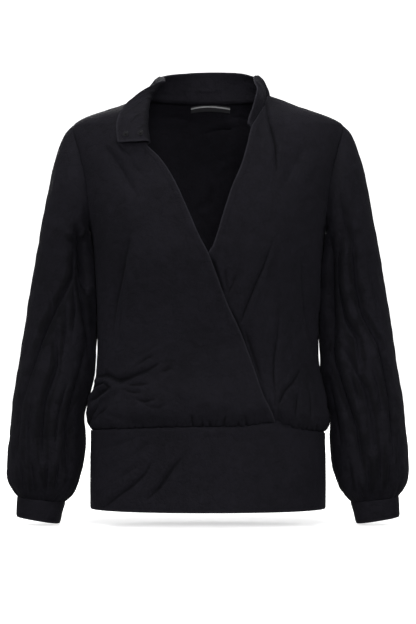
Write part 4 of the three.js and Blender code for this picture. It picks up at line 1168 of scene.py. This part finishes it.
# %% [markdown]
# ## Cuffs
#
# A cuff is a short doubled tube. It tips a little outwards, as it hangs from the end of the sleeve.

# %% Cuffs
CUFF = np.array([
    (294.6, -617.4, 222.9, -625.9, 35, 10),
    (295.4, -628, 226, -637, 33.5, 10),
    (296.2, -648, 231.4, -659, 32, 10),
])
CUFF_HEIGHT, CUFF_RADIUS = 34.0, 33.0
cuff_curves = [table_curve(np.arange(len(CUFF)), column) for column in CUFF.T]


def cuff_grid(seed):
    """Grid of the left-hand cuff: ovals from a table, rounded in at both edges."""
    ring, angle = np.meshgrid(np.linspace(0, 2, 26), np.arange(0, 360, 3.0), indexing="ij")
    _, plain, outward = oval_rings(cuff_curves, ring, angle)
    down = ring * CUFF_HEIGHT / 2
    lift = dip(down, 0.9, 2.6) + dip(CUFF_HEIGHT - down, 0.8, 1.6)
    lift += ripple(np.radians(angle) * CUFF_RADIUS, down, seed, 0.35, 14, 50)
    return plain + outward * lift[..., None]


left_cuff = cuff_grid(51)[::-1]
right_cuff = mirrored(cuff_grid(52)[::-1])
CUFF_CUT = dict(flat=(0.215, 0.037), closed=True, **BAND)
cloth_piece("cuff_left_cloth", "cuff_left", left_cuff, **CUFF_CUT)
cloth_piece("cuff_right_cloth", "cuff_right", right_cuff, **CUFF_CUT)

# %% [markdown]
# ## Collar
#
# The stand collar is sewn along the neck. On the wearer's left it runs out along the front's edge. On the
# right it stands as far as the shoulder, and from there it folds over outwards and lies on the front.
# At each place of the neck seam a strip starts from the seam and turns as it goes: a table gives its
# height, its angles and where it folds.

# %% Collar
COLLAR_LEFT_END = -49.0  # heights at which the neck seam ends on the two fronts' edges
COLLAR_RIGHT_END = -77.5
CREASE_TURN = 134.0  # degrees that the strip folds over at its crease
CREASE_WIDTH = 0.22  # share of the height that the fold takes
TURNED_AIR = 1.2  # between the turned-out end and the front that it lies on
ALLOWANCE = 5.0  # how far the collar's seam allowance reaches down inside the neck
LEVEL_FROM, LEVEL_TO = 0.82, 0.94  # shares of the seam over which the strip turns level
NECK_RUN = 500.0  # length of the neck seam
STRIP_STEP = 1.3  # millimetres up the strip from row to row
LEFT_PLACES, ROUND_PLACES, RIGHT_PLACES = 60, 240, 90
# columns: share of the neck seam from the left end, height, angle at the seam, angle at the edge, and share
# of the height at which it folds over, above 1 where it doesn't
COLLAR = np.array([
    (0, 6, 30, 26, 1.3), (0.05, 16, 64, 56, 1.3), (0.1, 29, 80, 52, 1.3),
    (0.16, 37, 78, 18, 1.3), (0.22, 40, 68, 10, 1.3), (0.46, 46, 52, 30, 1.3),
    (0.68, 40, 66, 14, 1.3), (0.755, 39, 66, 8, 1.2), (0.78, 38, 60, 14, 1.02),
    (0.8, 38, 56, 26, 0.72), (0.82, 40, 56, 38, 0.42), (0.845, 45, 56, 46, 0.25),
    (0.88, 51, 56, 50, 0.19), (0.93, 57, 54, 50, 0.17), (1, 59, 54, 50, 0.17),
])
collar_height, collar_base, collar_tip, collar_crease = (
    table_curve(COLLAR[:, 0], COLLAR[:, k]) for k in (1, 2, 3, 4)
)


def neck_seam(count):
    """Even places along the neck seam, as angles round the body and heights."""
    left_z = np.linspace(COLLAR_LEFT_END, NECK_Z, LEFT_PLACES, endpoint=False)
    right_z = np.linspace(NECK_Z, COLLAR_RIGHT_END, RIGHT_PLACES)
    left_turn = turn_at(left_edge_at(left_z), left_z)
    right_turn = 360 + turn_at(right_edge_at(right_z), right_z)
    start = turn_at(left_edge_at(NECK_Z), NECK_Z)
    round_turn = np.linspace(start, right_turn[0], ROUND_PLACES, endpoint=False)
    turn = np.concatenate((left_turn, round_turn, right_turn))
    z = np.concatenate((left_z, np.full(ROUND_PLACES, NECK_Z), right_z))
    run = run_from_start(body(turn, z), 0)
    along = np.linspace(0, 1, count)
    return along, np.interp(along, run / run[-1], turn), np.interp(along, run / run[-1], z)


def clear_of_front(point):
    """Moves points forward until they clear the front that the turned-out end lies on."""
    turn = turn_at(point[:, 0], point[:, 2])
    normal = body_normal(turn, point[:, 2])
    lift = folds_at(point[:, 0], point[:, 2], RIGHT_FOLDS)
    surface = (body(turn, point[:, 2]) + normal * lift[:, None])[:, 1]
    facing = np.maximum(-normal[:, 1], 0.3)
    cleared = point.copy()
    cleared[:, 1] = np.minimum(point[:, 1], surface - TURNED_AIR / facing)
    return cleared


# columns as for the body. Paths are lengths along the neck seam from the left end, and up the strip
COLLAR_FOLDS = fold_table(
    (3.5, -1.6, 0.5, 1, (404, 14), (424, 26), (440, 44)),
    (3.5, -1.4, 0.5, 1, (398, 30), (412, 40), (424, 56)),
    (3.5, -1.4, 0.5, 1, (448, 16), (458, 30), (474, 40)),
    (3, -0.9, 0.5, 1, (440, 52), (462, 50), (488, 53)),
    (3, -1.2, 0.5, 1, (470, 14), (480, 24)),
    (5, -0.9, 0.5, 1, (120, 20), (150, 26), (170, 34)),
    (5, -0.8, 0.5, 1, (200, 30), (236, 22), (270, 26)),
    (5, -0.9, 0.5, 1, (290, 16), (320, 24), (336, 34)),
    (4, -1, 0.5, 1, (60, 10), (70, 24)),
    (4, -1.4, 0.5, 1, (362, 10), (374, 24), (380, 36)),
)


def collar_grid(count=230, steps=44):
    """Grid of the collar: each strip leans from its base angle to its tip angle and folds over at its
    crease. ahead is the body's direction into the neck, and normal stands out from the body."""
    along, turn, z = neck_seam(count)
    points, normal = body(turn, z), body_normal(turn, z)
    tangent = unit(np.gradient(points, axis=0))
    ahead = unit(np.cross(normal, tangent))
    level = unit(np.stack((-normal[:, 1], normal[:, 0], 0 * z), axis=-1))
    mix = smoothstep(along, LEVEL_FROM, LEVEL_TO)[:, None]
    ahead = unit(ahead * (1 - mix) + level * mix)
    strip = points + ahead * (SEAM_GAP + 0.4)
    size = collar_height(along) / steps
    grid = [strip - ahead * ALLOWANCE - normal * 1.9, strip - ahead * 0.6 - normal * 1.2, strip]
    crease_at = collar_crease(along)
    for k in range(steps):
        share = (k + 0.5) / steps
        folded = smoothstep(share, crease_at - CREASE_WIDTH / 2, crease_at + CREASE_WIDTH / 2)
        lean = collar_base(along) * (1 - share) + collar_tip(along) * share
        angle = np.radians(lean + CREASE_TURN * folded)
        strip = strip + ahead * (size * np.cos(angle))[:, None]
        strip = strip + normal * (size * np.sin(angle))[:, None]
        pressed = clear_of_front(strip)
        strip = np.where((folded > 0.5)[:, None], pressed, strip)
        grid.append(strip)
    grid = np.stack(grid, axis=0)
    across, up = np.meshgrid(along * NECK_RUN, np.arange(len(grid)) * STRIP_STEP)
    lift = folds_at(across, up, COLLAR_FOLDS) + ripple(across, up, 61, 0.3, 10.0, 40.0, 24)
    inside = smoothstep(up, 2, 10)
    return grid + grid_normals(grid) * (lift * inside)[..., None]


collar = collar_grid()
collar_ends = [LAST_ROW, FIRST_COLUMN, LAST_COLUMN]
cloth_piece("collar_cloth", "collar", collar, (0.50, 0.06), "folded", 0.0245, collar_ends, kind=FIRM)

# %% [markdown]
# ## Label
#
# A woven ribbon hangs inside the back of the neck, caught at its two short ends. It bows a little away
# from the cloth between them. It is left bare but for one pale woven line along an edge.

# %% Label
LABEL_X = 4.0
LABEL_TOP = -1.5
LABEL_WIDTH = 62.0
LABEL_HEIGHT = 10.0
LABEL_DROOP = 4.0
LABEL_BOW = 0.7
LABEL_AIR = 0.9
RIB, THREAD = 0.0003, 0.00022  # metres between the ribbon's ribs and between its threads
LINE_AT = -0.0032  # where the pale line lies, from the ribbon's middle, in metres


def label_grid(columns=60, rows=14):
    """Grid laid on the inner face of the back: one parabola across gives the bow, another the droop of
    its ends."""
    u, v = np.meshgrid(np.linspace(0.5, -0.5, columns + 1), np.linspace(0, 1, rows + 1))
    x, z = LABEL_X + LABEL_WIDTH * u, LABEL_TOP - LABEL_HEIGHT * v - LABEL_DROOP * (2 * u) ** 2
    turn = 180 - turn_at(x, z)
    bow = LABEL_BOW * (1 - 4 * u**2)
    sewn = folds_at(x, z, BACK_FOLDS) + ripple(x, z, BACK_SEED)
    lift = sewn - CLOTH - LABEL_AIR - bow
    return body(turn, z) + body_normal(turn, z) * lift[..., None]


def ribbon(name, dark, light):
    """Satin ribbon: long floats along it with a rib across, and a pale woven line along one edge."""
    material, shader, root = new_material(name, 0.5, 0.0, 0.08)
    across, down = root.cloth_lengths()
    rib = (across / RIB * TWO_PI).sin() * 0.5 + 0.5
    thread = (down / THREAD * TWO_PI).sin() * 0.5 + 0.5
    line = (down - LINE_AT).distance().between(0.0016, 0.0011)
    cloudy = noise(root, root.object_coords(), 320.0, 3.0)
    tone = rib * 0.03 + thread * 0.02 + cloudy * 0.05 + line * (0.6 + cloudy * 0.4)
    tone.tint(dark, light).drive(shader, "Base Color")
    (0.44 + cloudy * 0.12).drive(shader, "Roughness")
    (rib * 0.5 + thread * 0.5 + line).bump(0.5, 0.00008).drive(shader, "Normal")
    return material


satin = ribbon("satin ribbon", (0.008, 0.008, 0.010, 1), (0.42, 0.42, 0.43, 1))
cloth_piece("label_ribbon", "label", label_grid(), (0.063, 0.0102), "laid", kind=("ribbon", 0.6, satin))

# %% [markdown]
# ## Press studs
#
# Two small black snaps sit near the end of the turned-out collar. Each is turned like a button: a flat
# ring with a rolled rim and a round knob in the middle.

# %% Press studs
STUD_ALONG = 0.975  # share of the collar's length
STUD_WEAR = 2.5  # how many times as pale the lacquer is where it has worn
STUDS = {"press_stud_outer": 0.74, "press_stud_inner": 0.34}  # shares of the turned-out end's height
# columns: radius and height of the stud's profile
STUD_PROFILE = np.array([
    (0, 0), (3.6, 0), (4.4, 0.15), (4.6, 0.5), (4.3, 0.95), (3.8, 1.1), (3.2, 1.0), (2.6, 0.75),
    (2.2, 0.7), (1.9, 0.9), (1.75, 1.5), (1.6, 2.0), (1.1, 2.28), (0.5, 2.36), (0, 2.38),
])


def enamel(name, colour, roughness):
    """Black lacquer over metal, with fine scratches in its roughness and a slight wear in its colour."""
    material, shader, root = new_material(name, roughness, 0.0, 0.12)
    worn = noise(root, root.object_coords(), 900.0).between(0.45, 0.8)
    worn.tint(colour, tuple(STUD_WEAR * c for c in colour[:3]) + (1,)).drive(shader, "Base Color")
    (roughness + worn * 0.2).drive(shader, "Roughness")
    return material


LACQUER = enamel("black lacquer", (0.005, 0.005, 0.006, 1), 0.5)


def stud(name, across, sides=40):
    """A turned shape: the profile spun about the collar's normal at its place on the turned-out end."""
    column = int(round(STUD_ALONG * (collar.shape[1] - 1)))
    row = 2 + across * (collar.shape[0] - 3)
    low = int(np.floor(row))
    out = grid_normals(collar)[low, column]
    place = collar[low, column] * (1 + low - row) + collar[low + 1, column] * (row - low)
    place = place - out * (DOUBLE_CLOTH + 0.1)
    sideways = unit(np.cross(out, [0.0, 0.0, 1.0]))
    upward = np.cross(out, sideways)
    spin = np.linspace(0, TWO_PI, sides, endpoint=False)
    radius, height = STUD_PROFILE[:, 0][:, None, None], STUD_PROFILE[:, 1][:, None, None]
    ring = np.cos(spin)[None, :, None] * sideways + np.sin(spin)[None, :, None] * upward
    mesh = spun_mesh(name, (place + radius * ring - out * height) * MM, LACQUER)
    edit = bmesh.new()
    edit.from_mesh(mesh)
    bmesh.ops.remove_doubles(edit, verts=edit.verts, dist=1e-6)
    bmesh.ops.recalc_face_normals(edit, faces=edit.faces)
    edit.to_mesh(mesh)
    edit.free()
    piece = bpy.data.objects.new(name + "_turned", mesh)
    scene.collection.objects.link(piece)
    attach(piece, "root")
    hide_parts(name)


for stud_name, stud_across in STUDS.items():
    stud(stud_name, stud_across)
print("studs:", ", ".join(STUDS))
